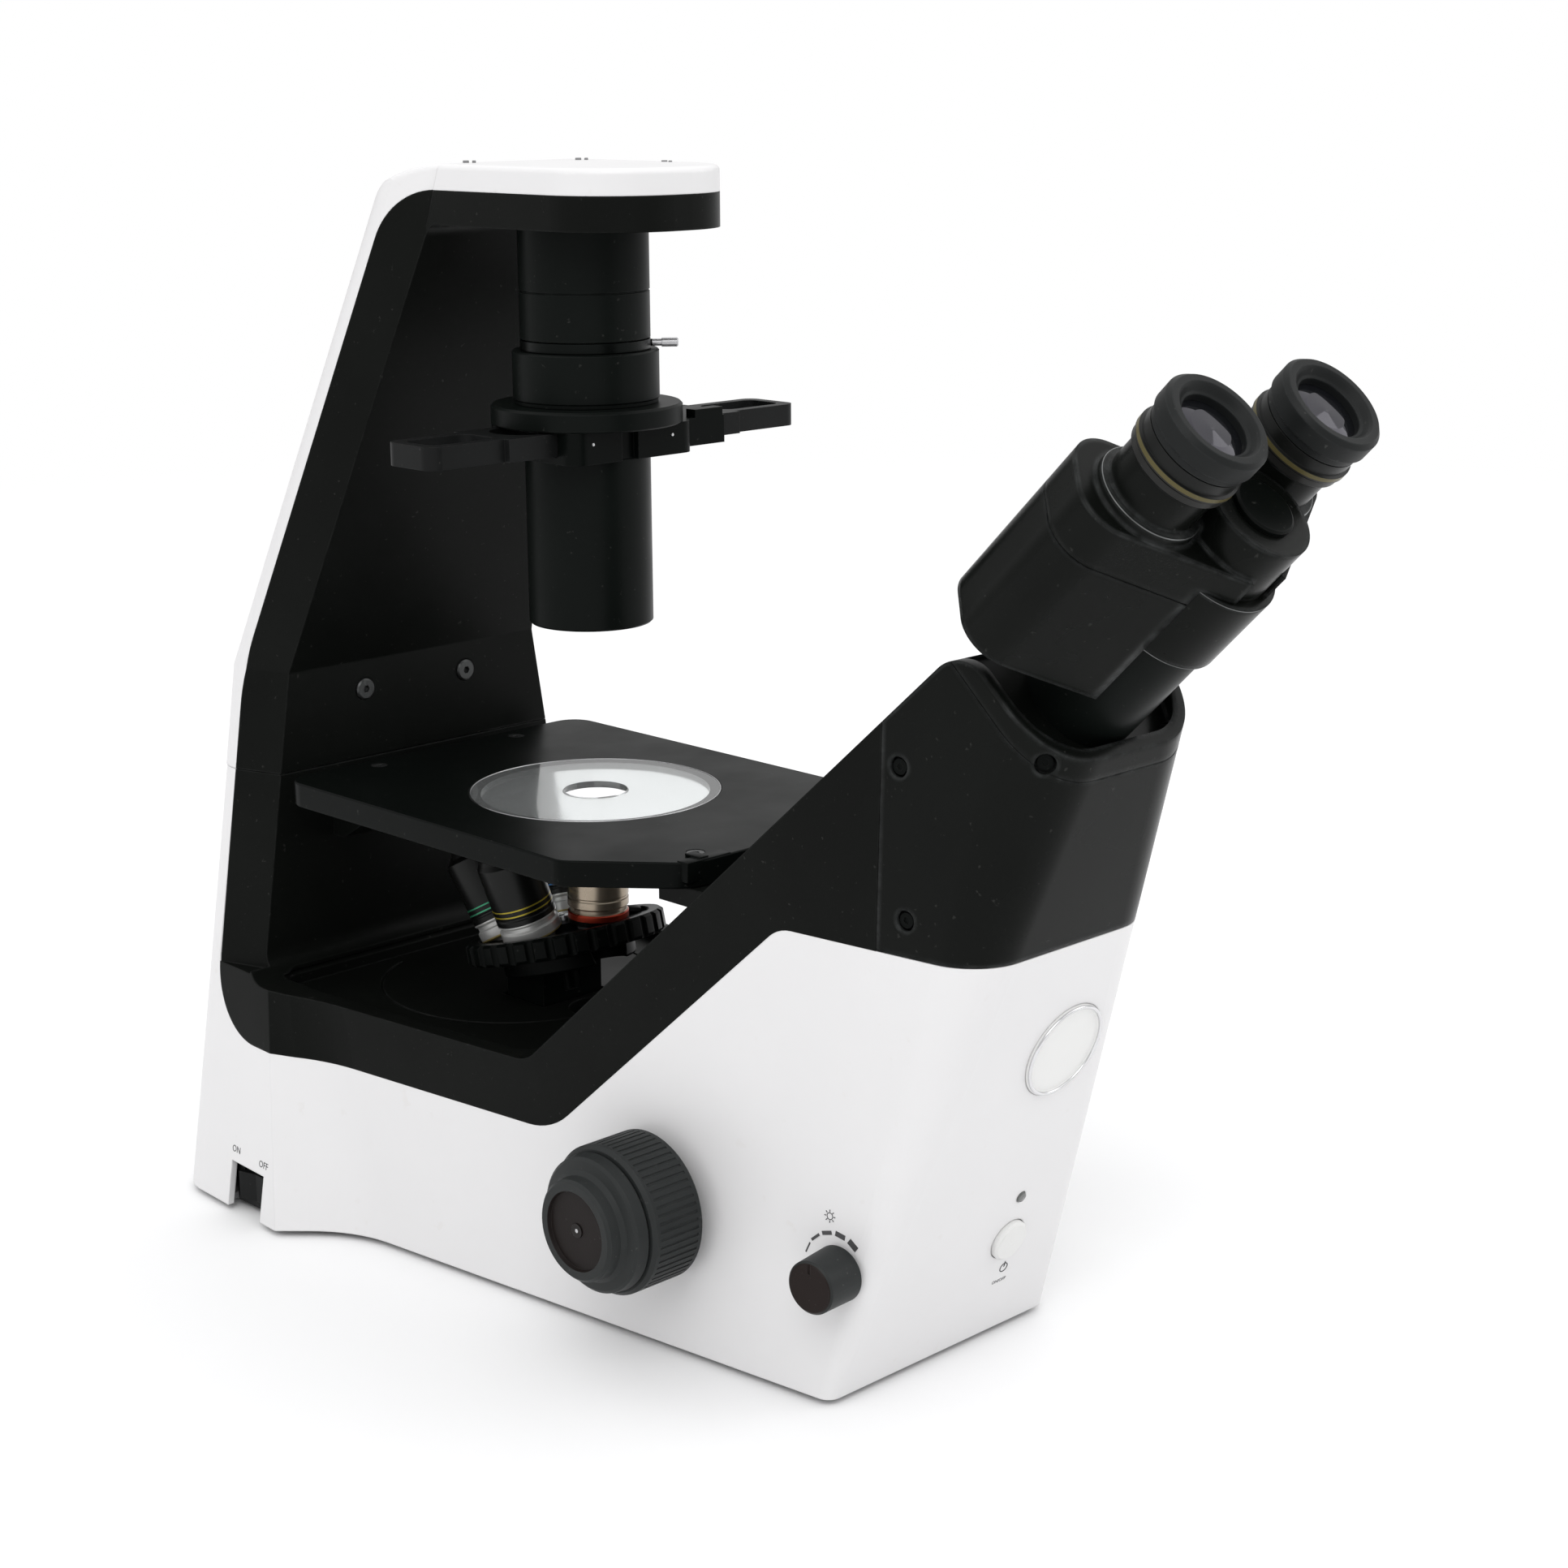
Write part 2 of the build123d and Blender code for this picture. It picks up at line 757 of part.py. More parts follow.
def make_aperture_ring():
    # turning ring between the collar and the lamp tube, with its pin
    bottom = at_stage(collar_heights[1]) + 0.3
    top = at_stage(lever_ring_top) - 0.3
    body = ring(lamp_radius, lamp_radius - tube_wall - 3, bottom, top)
    pin_height = (bottom + top) / 2
    pin_turn = radians(-40.0)
    place = Plane(origin=(0, 0, pin_height), x_dir=(0, 0, 1), z_dir=(cos(pin_turn), sin(pin_turn), 0))
    pin = disc(1.5, lamp_radius - 2, pin_reach - 7, place)
    knob = turned([(0, pin_reach - 7), (1.9, pin_reach - 7), (1.9, pin_reach - 0.5), (1.4, pin_reach),
                   (0, pin_reach)], place)
    return body + pin + knob


def make_iris_blades():
    bottom = at_stage(collar_heights[1]) - 5
    return ring(lamp_radius - tube_wall - 0.9, 7.0, bottom, bottom + 1.2)


def make_condenser_flange():
    bottom, top = (at_stage(z) for z in flange_heights)
    profile = [(beam_radius, bottom), (flange_radius - 0.6, bottom), (flange_radius, bottom + 0.6),
               (flange_radius, top - 1.0), (flange_radius - 1.0, top), (beam_radius, top)]
    return turned(profile)


def make_slider_holder():
    bottom = at_stage(holder_bottom)
    top = at_stage(flange_heights[0])
    left, right, deep = -32.0, 36.0, 29.0
    guide_end = 57.0
    clip = (40.0, 56.0)
    rail = 24.0
    outline = filled((left, -deep), (right, -deep), (right, deep), (left, deep), rounds=[7, 7, 7, 7])
    body = Pos(0, 0, bottom) * extrude(outline, top - bottom)
    body = body + block((right - 1, guide_end), (-rail, rail), (bottom + 1.5, top))
    for side in (-1, 1):
        near, far = sorted((side * slider_half_depth, side * rail))
        body = body + block(clip, (near, far), (top - 0.1, top + 3.5))
    channel = block((left - 5, guide_end + 5), (-slider_half_depth - slide_gap, slider_half_depth + slide_gap),
                    (at_stage(slider_heights[0]) - slide_gap, top + 10))
    notch = block((-6, 3), (-deep - 1, -deep + 3), (bottom - 1, top + 1))
    return body - channel - notch - disc(beam_radius + 3, bottom - 1, top + 1)


def slider_loop(inner_x, outer_x):
    low, high = min(inner_x, outer_x), max(inner_x, outer_x)
    half = slider_half_depth - 3
    bottom, top = (at_stage(z) for z in slider_heights)
    outer = filled((low, -half), (high, -half), (high, half), (low, half), rounds=[6, 6, 6, 6])
    inner = filled((low + 5, 5 - half), (high - 5, 5 - half), (high - 5, half - 5), (low + 5, half - 5),
                   rounds=[5, 5, 5, 5])
    return Pos(0, 0, bottom) * extrude(outer - inner, top - bottom)


def make_phase_slider():
    bottom, top = (at_stage(z) for z in slider_heights)
    tray = block(slider_tray, (-slider_half_depth, slider_half_depth), (bottom, top))
    for spot in (-slider_step, 0, slider_step):
        tray = tray - Pos(spot, 0, 0) * (disc(beam_radius + 2, bottom + 2, top + 1)
                                         + disc(beam_radius, bottom - 1, top + 1))
    return tray + slider_loop(slider_tray[0] + 5, slider_left) + slider_loop(slider_tray[1] - 5, slider_right)


def make_phase_rings():
    bottom = at_stage(slider_heights[0]) + 2
    rings = []
    for spot, size in ((-slider_step, 6.0), (slider_step, 9.0)):
        plate = disc(beam_radius + 1.8, bottom, bottom + 2) - ring(size, size - 2, bottom + 1, bottom + 3)
        rings.append(Pos(spot, 0, 0) * plate)
    return Compound(rings)


def make_condenser_tube():
    bottom = at_stage(condenser_bottom)
    top = at_stage(holder_bottom)
    bore = condenser_radius - tube_wall
    profile = [(bore, bottom), (condenser_radius - 0.8, bottom), (condenser_radius, bottom + 0.8),
               (condenser_radius, top), (beam_radius, top), (beam_radius, top - 4), (bore, top - 4)]
    return turned(profile)


def make_condenser_lens():
    bottom = at_stage(condenser_bottom) + 8
    rim = condenser_radius - tube_wall
    crown = 6.0
    sphere = (rim ** 2 + crown ** 2) / (2 * crown)
    lens = disc(rim, bottom, bottom + 4)
    dome = Pos(0, 0, bottom + 4 + crown - sphere) * Sphere(sphere)
    return lens + (dome & disc(rim, bottom + 4, bottom + 14))


# Nosepiece with its carriage

nose_turn = radians(nose_tilt)
seat_middle = (0, objective_circle * cos(nose_turn), at_stage(-parfocal) - objective_circle * sin(nose_turn))
nose_axis = (0, sin(nose_turn), cos(nose_turn))
nose_plane = Plane(origin=seat_middle, x_dir=(1, 0, 0), z_dir=nose_axis)
carriage_half = 17.0
post_y = (19.0, 44.0)
carriage_heights = (56.0, 68.0)
rod_x = 24.0
rod_y = 34.0
rod_radius = 4.0


def seat_turn(index):
    # the working objective is the one nearest the user, over the optical axis
    return 360.0 * index / turret_seats


def objective_plane(index):
    turn = radians(seat_turn(index))
    out = Vector(0, -1, 0).rotate(Axis.Z, -degrees(turn))
    origin = nose_plane.from_local_coords(Vector(out.X, out.Y, 0) * objective_circle)
    tilt_out = nose_plane.from_local_coords(Vector(out.X, out.Y, 0)) - nose_plane.origin
    direction = Vector(*nose_axis) * cos(nose_turn) + tilt_out * sin(nose_turn)
    return Plane(origin=origin, x_dir=(1, 0, 0), z_dir=direction)


seat_radius = 10.0


def make_objective_turret():
    profile = [(pivot_radius + running_fit, -turret_thickness), (turret_radius - 1.5, -turret_thickness),
               (turret_radius, -turret_thickness + 1.5), (turret_radius, -2.0), (turret_radius - 1.5, -0.7),
               (turret_radius - 6, -0.7), (turret_radius - 7, -2.2), (24, -1.6), (20, 1.5),
               (pivot_radius + running_fit, 1.5)]
    body = turned(profile, nose_plane)
    grooves = []
    for rib in range(rib_count):
        turn = radians(360 * (rib + 0.5) / rib_count)
        spot = Pos((turret_radius + 0.6) * cos(turn), (turret_radius + 0.6) * sin(turn), -turret_thickness / 2)
        grooves.append(nose_plane * spot * Cylinder(2.2, turret_thickness + 6))
    body = body - Compound(grooves)
    for index in range(turret_seats):
        place = objective_plane(index)
        body = body - disc(seat_radius, -4.5, 12, place) - disc(seat_radius - 2, -16, 5, place)
        body = body - disc(14.0, 0, 12, place)
    return body


def make_turret_pivot():
    profile = [(0, -turret_thickness - 8), (pivot_radius, -turret_thickness - 8), (pivot_radius, 1.8),
               (pivot_radius + 2.5, 1.8), (pivot_radius + 2.5, 3.8), (pivot_radius + 1.5, 4.6), (0, 4.6)]
    pivot = turned(profile, nose_plane)
    return pivot - nose_plane * Pos(0, 0, 3.9) * Box(9, 1.2, 2)


def objective_shell(place, length, tip_radius, hood):
    # a barrel with shoulder, bands and a tapered nose; the thread sits in the turret
    barrel = 13.5
    profile = [(tip_radius - 1.2, length - 1.5), (tip_radius - 1.2, length), (tip_radius, length),
               (tip_radius + 0.6, length - 0.6), (hood, length - 7), (barrel, length - 9), (barrel, 13.0),
               (barrel - 0.4, 12.6), (barrel - 0.4, 11.8), (barrel, 11.4), (barrel, 8.4),
               (barrel - 1.0, 7.6), (barrel - 1.0, 6.0), (barrel, 5.2), (barrel, 0.9), (barrel - 0.6, 0.3),
               (seat_radius - 0.15, 0.3), (seat_radius - 0.15, -4.2), (seat_radius - 2.4, -4.2),
               (seat_radius - 2.4, length - 1.5)]
    return turned(profile, place)


objective_kinds = {
    "objective_red": (0, 38.0, 9.0, 13.2),
    "objective_yellow": (1, 45.0, 7.5, 12.0),
    "objective_green": (2, 47.0, 6.0, 11.0),
    "objective_blue": (3, 47.0, 5.0, 10.5),
}


def make_objective(index, length, tip_radius, hood):
    return objective_shell(objective_plane(index), length, tip_radius, hood)


def make_port_plug():
    place = objective_plane(4)
    return turned([(0, -4.2), (seat_radius - 0.15, -4.2), (seat_radius - 0.15, 0.3), (12.0, 0.3), (12.0, 2.2),
                   (11.0, 3.0), (0, 3.0)], place)


def make_nosepiece_carriage():
    low, high = carriage_heights
    base = turned([(pivot_radius + 0.02, -turret_thickness - 8), (mount_radius - 1, -turret_thickness - 8),
                   (mount_radius, -turret_thickness - 7), (mount_radius, -turret_thickness - 1.6),
                   (mount_radius - 1, -turret_thickness - 0.6), (pivot_radius + 0.02, -turret_thickness - 0.6)],
                  nose_plane)
    post = block((-carriage_half, carriage_half), post_y, (low, seat_middle[2] - 14))
    post = post & (nose_plane * Pos(0, 0, -turret_thickness - 0.7 - 60) * Box(200, 200, 120))
    plate = block((-rod_x - 8, rod_x + 8), (post_y[0] - 6, post_y[1] + 4), (low, high))
    arms = both_sides(block((carriage_half + 1, carriage_half + 10), (focus_y + 12, post_y[1]), (low, high)))
    head_bar = block((-carriage_half - 10, carriage_half + 10), (rack_line + 5, rack_line + 13), (low, high))
    carriage = base + post + plate + arms + head_bar
    carriage = carriage - disc(beam_radius, 0, 300) - disc(pivot_radius + 0.02, -30, 0, nose_plane)
    for x in (-rod_x, rod_x):
        carriage = carriage - Pos(x, rod_y, 0) * disc(rod_radius + running_fit, low - 1, high + 1)
    return carriage


def make_guide_rods():
    top = floor_z - floor_thickness
    return Compound([Pos(x, rod_y, 0) * disc(rod_radius, foot_gap + plate_thickness, top)
                     for x in (-rod_x, rod_x)])


# Rack and pinion of the focus drive

pitch_radius = gear_module * pinion_teeth / 2
rack_line = focus_y + pitch_radius
tooth_pitch = pi * gear_module
addendum = 0.8 * gear_module
dedendum = 1.1 * gear_module


def make_focus_rack():
    low, high = carriage_heights
    count = 15
    back = rack_line + 5
    half = tooth_pitch / 4 - tooth_play / 2
    slant = tan(radians(20))
    points = []
    for tooth in range(count):
        middle = focus_height + (tooth - (count - 1) / 2) * tooth_pitch
        points += [(rack_line + dedendum, middle - half - dedendum * slant),
                   (rack_line - addendum, middle - half + addendum * slant),
                   (rack_line - addendum, middle + half - addendum * slant),
                   (rack_line + dedendum, middle + half + dedendum * slant)]
    points += [(back, points[-1][1] + 1), (back, points[0][1] - 1)]
    return across(points, pinion_width / 2 + 0.5)


def focus_pinion():
    # turning pinion, a tooth space facing the rack's middle
    half = pi / (2 * pinion_teeth) - tooth_play / 2 / pitch_radius
    points = []
    for tooth in range(pinion_teeth):
        middle = 2 * pi * (tooth + 0.5) / pinion_teeth
        for turn, radius in ((-1.55 * half, pitch_radius - dedendum), (-half, pitch_radius),
                             (-0.5 * half, pitch_radius + addendum), (0.5 * half, pitch_radius + addendum),
                             (half, pitch_radius), (1.55 * half, pitch_radius - dedendum)):
            points.append((radius * cos(middle + turn), radius * sin(middle + turn)))
    gear = Pos(0, 0, -pinion_width / 2) * extrude(filled(*points), pinion_width)
    return focus_place(0) * gear


def make_coarse_sleeve():
    reach = focus_seat + coarse_length - 8
    place = focus_place(0)
    sleeve = disc(3.9, -reach, reach, place) + focus_pinion()
    for low, high in ((-reach, -pinion_width / 2 - 1), (pinion_width / 2 + 1, reach)):
        sleeve = sleeve + disc(sleeve_radius, low, high, place)
    return sleeve - disc(fine_shaft_radius + running_fit, -reach - 1, reach + 1, place)


def knob_place(side):
    return Plane(origin=(0, focus_y, focus_height), x_dir=(0, 1, 0), z_dir=(side, 0, 0))


def make_coarse_knob(side):
    outer = focus_seat + coarse_length
    place = knob_place(side)
    profile = [(sleeve_radius, focus_seat + 3), (20, focus_seat + 3), (22, focus_seat), (coarse_radius - 1.2, focus_seat),
               (coarse_radius, focus_seat + 1.2), (coarse_radius, outer - 1.5), (coarse_radius - 1.5, outer),
               (12, outer), (12, outer - 6), (sleeve_radius, outer - 6)]
    knob = turned(profile, place)
    ribs = 60
    grooves = []
    for rib in range(ribs):
        turn = radians(360 * rib / ribs)
        spot = Pos((coarse_radius + 0.35) * cos(turn), (coarse_radius + 0.35) * sin(turn),
                   focus_seat + coarse_length / 2)
        grooves.append(place * spot * Rot(0, 0, degrees(turn)) * Box(1.5, 1.2, coarse_length - 6))
    return knob - Compound(grooves)


def make_fine_knob(side):
    place = knob_place(side)
    inner = focus_seat + coarse_length + 0.4
    profile = [(fine_shaft_radius, inner - 5.5), (11, inner - 5.5), (11, inner), (fine_radius - 0.8, inner),
               (fine_radius, inner + 0.8), (fine_radius - 0.6, fine_step - 1), (fine_radius - 1.8, fine_step),
               (fine_front_radius + 2.5, fine_step + 0.8), (fine_front_radius + 0.8, fine_step + 2.4),
               (fine_front_radius + 0.4, fine_face - 1.2), (fine_front_radius - 0.8, fine_face),
               (fine_front_radius - 4, fine_face), (fine_front_radius - 4.6, fine_face - 1.6),
               (fine_shaft_radius, fine_face - 1.6)]
    return turned(profile, place)


def make_fine_shaft():
    reach = fine_face - 1.2
    shaft = disc(fine_shaft_radius - 0.02, -reach, reach, focus_place(0))
    return shaft


def make_focus_bushes():
    bushes = []
    for side in (-1, 1):
        inner = waist(focus_y, focus_height)
        profile = [(sleeve_radius + running_fit, inner - 16), (sleeve_radius + 6, inner - 16),
                   (sleeve_radius + 6, inner - wall - 2.4), (sleeve_radius + 3.2, inner - wall - 2.4),
                   (sleeve_radius + 3.2, inner - 0.2), (sleeve_radius + running_fit, inner - 0.2)]
        bushes.append(turned(profile, knob_place(side)))
    return Compound(bushes)


def make_focus_bracket():
    # two cheeks under the slope carry the bushes
    inner = waist(focus_y, focus_height) - 16
    cheek = block((inner - 6, inner - 0.05), (focus_y - 16, focus_y + 16), (foot_gap + plate_thickness,
                                                                          focus_height + 16))
    cheeks = both_sides(cheek)
    return cheeks - disc(sleeve_radius + 0.4, -100, 100, focus_place(0))


# Controls of the base

def make_dimmer_knob():
    place = dimmer_plane()
    profile = [(0, 1.2), (dimmer_radius - 0.8, 1.2), (dimmer_radius, 2.0), (dimmer_radius - 0.6, dimmer_length - 1.2),
               (dimmer_radius - 1.8, dimmer_length), (0, dimmer_length)]
    knob = turned(profile, place) + disc(3.0, -11, 1.3, place)
    pointer = place * Pos(0, dimmer_radius - 3, dimmer_length) * Box(1.2, 5, 0.8)
    return knob - pointer


def make_dimmer_pot():
    place = dimmer_plane()
    pot = disc(8.0, -22, -12, place) + disc(3.9, -12, 0.4, place) - disc(3.0 + running_fit, -12.5, 1, place)
    return pot


def make_push_button():
    place = face_plane(button_x, button_height)
    profile = [(0, -6), (button_radius, -6), (button_radius, 1.6), (button_radius - 1.0, 2.6), (0, 2.9)]
    return turned(profile, place) + disc(2.5, -12, -6, place)


def make_button_housing():
    place = face_plane(button_x, button_height)
    profile = [(2.5 + running_fit, -16), (button_radius + 3, -16), (button_radius + 3, -wall - 0.2),
               (button_radius + 0.5, -wall - 0.2), (button_radius + 0.5, -9.2), (2.5 + running_fit, -9.2)]
    return turned(profile, place)


def make_control_housings():
    return Compound([make_dimmer_pot(), make_button_housing()])


def make_led_window():
    place = face_plane(button_x, led_height)
    return turned([(0, -6), (2.5, -6), (2.5, 0.3), (2.0, 0.8), (0, 1.0)], place)


def make_badge_disc():
    place = face_plane(badge_x, badge_height)
    return turned([(0, -0.6), (badge_radius, -0.6), (badge_radius, 0.5), (badge_radius - 0.6, 0.9),
                   (badge_radius - 1.8, 0.9), (badge_radius - 2.2, 0.5), (0, 0.5)], place)


def switch_place():
    middle = (switch_y[0] + switch_y[1]) / 2
    return Plane(origin=(-flank(switch_top / 2) - flank_lead + 7.5, middle, foot_gap + 10.5), x_dir=(0, -1, 0),
                 z_dir=(-1, 0, 0))


def make_switch_bezel():
    place = switch_place()
    wide = switch_y[1] - switch_y[0] + 5
    tall = switch_top - foot_gap + 2.5
    frame = Pos(0, 1.25, -5) * Box(wide, tall, 8)
    frame = frame - Pos(0, 0, 0) * Box(rocker_size[0] + 0.8, rocker_size[1] + 0.8, 18)
    frame = frame & Pos(0, 0, -9 + 5) * Box(100, 100, 10)
    return place * frame + place * Pos(0, 1.25, -10) * Box(wide, tall, 2)


rocker_tilt = 8.0           # degrees, its front half pressed
rocker_pivot = 4.0


def make_power_rocker():
    place = switch_place()
    half = rocker_size[0] / 2
    tall = rocker_size[1]
    outline = filled((-half, 1.8), (0, 0.4), (half, 1.8), (half - 1.6, -2.5), (2.2, -6.4), (-2.2, -6.4),
                     (1.6 - half, -2.5))
    rocker = Plane.XZ.offset(-tall / 2) * extrude(outline, tall)
    return place * Pos(0, 0, -rocker_pivot) * Rot(0, rocker_tilt, 0) * Pos(0, 0, rocker_pivot) * rocker


def make_power_inlet():
    place = Plane(origin=(-60, back_y, 28), x_dir=(1, 0, 0), z_dir=(0, 1, 0))
    profile = [(1.2, -14), (6.0, -14), (6.0, 0.1), (7.6, 0.1), (7.6, 1.4), (3.4, 1.4), (3.4, -11), (1.2, -11)]
    return turned(profile, place) + disc(1.2, -14, -0.5, place)


# Underside

plate_thickness = 3.0


def make_bottom_plate():
    gap = 0.3
    section = loft([body_section(foot_gap, wall + gap), body_section(foot_gap + plate_thickness, wall + gap)],
                   ruled=True)
    for x, y in foot_spots():
        section = section - Pos(x, y, 0) * disc(foot_radius - 2, foot_gap - 1, foot_gap + plate_thickness + 1)
    return section - block((-140, -98), (switch_y[0] - 4, switch_y[1] + 4), (0, foot_gap + 10))


def foot_spots():
    return [(-92.0, 145.0), (92.0, 145.0), (-48.0, -180.0), (48.0, -180.0)]


def make_rubber_feet():
    top = foot_gap + plate_thickness
    profile = [(0, 0), (foot_radius - 0.8, 0), (foot_radius, 0.8), (foot_radius, foot_gap),
               (foot_radius - 2, foot_gap), (foot_radius - 2, top), (0, top)]
    return Compound([Pos(x, y, 0) * turned(profile) for x, y in foot_spots()])


# Mirror and tube lens in the light path

mirror_size = (30.0, 22.0, 2.0)

def make_inner_brackets():
    return Compound(make_mirror_cheeks().solids() + make_focus_bracket().solids())


def make_fold_mirror():
    # reflects the upright beam into the tilted tube, so it lies at half the angle
    turn = radians((90 + tube_tilt) / 2)
    place = Plane(origin=(0, 0, mirror_height), x_dir=(1, 0, 0), z_dir=(0, -cos(turn), sin(turn)))
    width, length, thickness = mirror_size
    return place * Pos(0, 0, -thickness / 2) * Box(width, length, thickness)


def make_mirror_cheeks():
    inner = mirror_size[0] / 2
    low = foot_gap + plate_thickness
    return both_sides(block((inner + 0.05, inner + 5), (-14, 14), (low, mirror_height + 10)))


def make_tube_lens():
    return disc(spigot_radius - 2.5, -spigot_end + 3, -spigot_end + 10, hub_top)


# Binocular head

def eye_axis_plane(side, t=0.0):
    return tube_plane(0.0, t, side * eye_spacing / 2)


def arm_turn():
    # angle of the arm from the line across the tubes, as seen from the eyepieces
    return degrees(atan((eye_spacing / 2) / hub_offset))


def prism_box(side, inset=0.0, span=prism_span):
    # in the plane square to the tubes: x across, y up and forward, origin on the hub axis
    length = prism_arm + prism_reach - inset
    start = -14.0 + inset
    half = prism_half - inset
    outline = filled((start, -half), (length, -half), (length, half), (start, half), rounds=[6, 16, 16, 6])
    low, high = span
    solid = Pos(0, 0, -high) * extrude(outline, high - low)
    turn = 90 - arm_turn()
    if side < 0:
        turn = 180 - turn
    return hub_top * Rot(0, 0, turn) * solid


def prism_seam(side):
    span = (prism_seam_depth, prism_seam_depth + 0.7)
    return prism_box(side, 0, span) - prism_box(side, 0.5, (span[0] - 1, span[1] + 1))


def arm_wedge(side):
    # what each arm may fill, so that the two stay apart when they swing in and out
    near = radians(closing + 1.0)
    far = radians(180 - opening - 1.0)
    long = 300.0
    points = [(0, 0), (long * sin(near), long * cos(near)), (long, long), (long, -long),
              (long * sin(far), long * cos(far))]
    wedge = Pos(0, 0, -long) * extrude(filled(*[(side * x, y) for x, y in points]), 2 * long)
    return hub_top * wedge


def make_prism_housing(side):
    low, high = prism_span
    body = prism_box(side) - prism_seam(side)
    body = body & arm_wedge(side)
    if side < 0:
        hub = disc(hub_cap_radius, -hub_split + 0.15, -28.0, hub_top)
        clear = disc(hub_radius + 0.4, -high - 5, -hub_split, hub_top)
    else:
        hub = disc(hub_radius, -hub_end + 0.15, -hub_split - 0.15, hub_top)
        clear = disc(hub_cap_radius + 0.4, -hub_split - 0.15, 0, hub_top)
    clear = clear + disc(mount_tube_radius + 0.5, -high - 5, -hub_end + 0.15, hub_top)
    body = (body - clear) + hub
    eye = eye_axis_plane(side)
    collar = turned([(eyetube_radius - 3, -prism_span[0] - 2), (eyetube_radius + 3.2, -prism_span[0] - 2),
                     (eyetube_radius + 2.6, -prism_span[0] + 3.4), (eyetube_radius + 2.0, -prism_span[0] + 4),
                     (eyetube_radius - 3, -prism_span[0] + 4)], eye)
    tube = disc(eyetube_radius, -prism_span[0] - 2, -23.0, eye)
    body = body + collar + tube
    if side > 0:
        body = body - clear
    body = body - disc(pivot_shaft_radius + running_fit, -high - 20, 0, hub_top)
    body = body - disc(eyetube_radius - 4.8, -prism_span[0] - 12, 0, eye)
    return body


def make_bino_pivot():
    top = -28.0
    profile = [(0, -hub_end - 6), (pivot_shaft_radius, -hub_end - 6), (pivot_shaft_radius, top + 0.2),
               (pivot_shaft_radius + 4, top + 0.2), (pivot_shaft_radius + 4, top + 1.8),
               (pivot_shaft_radius + 3, top + 2.4), (0, top + 2.4)]
    return turned(profile, hub_top)


rim_depth = (eye_point[2] - rim_plane_z(eye_point[1])) / sqrt(2)
mount_end = rim_depth + rim_pocket
spigot_radius = mount_tube_radius - 4.0
spigot_end = mount_end + 16.0


def make_bino_mount():
    bore = spigot_radius - 2.5
    profile = [(bore, -spigot_end), (spigot_radius, -spigot_end), (spigot_radius, -mount_end),
               (mount_tube_radius, -mount_end), (mount_tube_radius, -hub_end - 0.15),
               (pivot_shaft_radius + 0.02, -hub_end - 0.15), (pivot_shaft_radius + 0.02, -hub_end - 8),
               (bore, -hub_end - 8)]
    return turned(profile, hub_top)


def make_eyepiece(side):
    eye = eye_axis_plane(side)
    inner = eyetube_radius - 4.9
    profile = [(inner - 1.8, -44), (inner, -44), (inner, -22.7), (19.4, -22.7), (19.4, -20.2), (19.0, -20.0),
               (19.0, -19.6), (eyepiece_radius - 0.3, -19.4), (eyepiece_radius - 0.3, -17.0), (19.2, -16.6),
               (19.2, -12.0), (inner - 1.8, -12.0)]
    return turned(profile, eye)


def make_eye_ring(side):
    eye = eye_axis_plane(side)
    inner = 13.0
    profile = [(inner, -11.6), (19.2, -11.6), (19.4, -9.0), (eyepiece_radius, -8.2), (eyepiece_radius, -1.8),
               (eyepiece_radius - 1.6, 0), (inner + 3.4, 0), (inner + 2.4, -0.8), (inner + 1.0, -2.6),
               (inner, -3.2)]
    return turned(profile, eye)


def make_eye_lens(side):
    eye = eye_axis_plane(side)
    return turned([(0, -9.0), (12.95, -9.0), (12.95, -6.0), (8.0, -5.0), (0, -4.6)], eye)


# Export

pieces = {
    "base_shell": make_base_shell,
    "bottom_plate": make_bottom_plate,
    "rubber_feet": make_rubber_feet,
    "main_frame": make_main_frame,
    "tower_cover": make_tower_cover,
    "tower_screws": make_tower_screws,
    "pillar_frame": make_pillar_frame,
    "pillar_cover": make_pillar_cover,
    "stage_plate": make_stage_plate,
    "cap_screws": make_cap_screws,
    "stage_brackets": make_stage_brackets,
    "stage_insert": make_stage_insert,
    "lamp_tube": make_lamp_tube,
    "lamp_led": make_lamp_led,
    "collector_lens": make_collector_lens,
    "condenser_collar": make_condenser_collar,
    "aperture_ring": make_aperture_ring,
    "iris_blades": make_iris_blades,
    "condenser_flange": make_condenser_flange,
    "slider_holder": make_slider_holder,
    "phase_slider": make_phase_slider,
    "phase_rings": make_phase_rings,
    "condenser_tube": make_condenser_tube,
    "condenser_lens": make_condenser_lens,
    "objective_turret": make_objective_turret,
    "turret_pivot": make_turret_pivot,
    "port_plug": make_port_plug,
    "nosepiece_carriage": make_nosepiece_carriage,
    "guide_rods": make_guide_rods,
    "focus_rack": make_focus_rack,
    "coarse_sleeve": make_coarse_sleeve,
    "fine_shaft": make_fine_shaft,
    "focus_bushes": make_focus_bushes,
    "brightness_knob": make_dimmer_knob,
    "push_button": make_push_button,
    "control_housings": make_control_housings,
    "led_window": make_led_window,
    "badge_disc": make_badge_disc,
    "switch_bezel": make_switch_bezel,
    "power_rocker": make_power_rocker,
    "power_inlet": make_power_inlet,
    "fold_mirror": make_fold_mirror,
    "inner_brackets": make_inner_brackets,
    "tube_lens": make_tube_lens,
    "bino_mount": make_bino_mount,
    "bino_pivot": make_bino_pivot,
}


def centre_y():
    # the eyepiece rims reach furthest forward, the back of the base furthest back
    reach = eye_point[1] - eyepiece_radius * cos(radians(tube_tilt))
    return -(reach + back_y) / 2


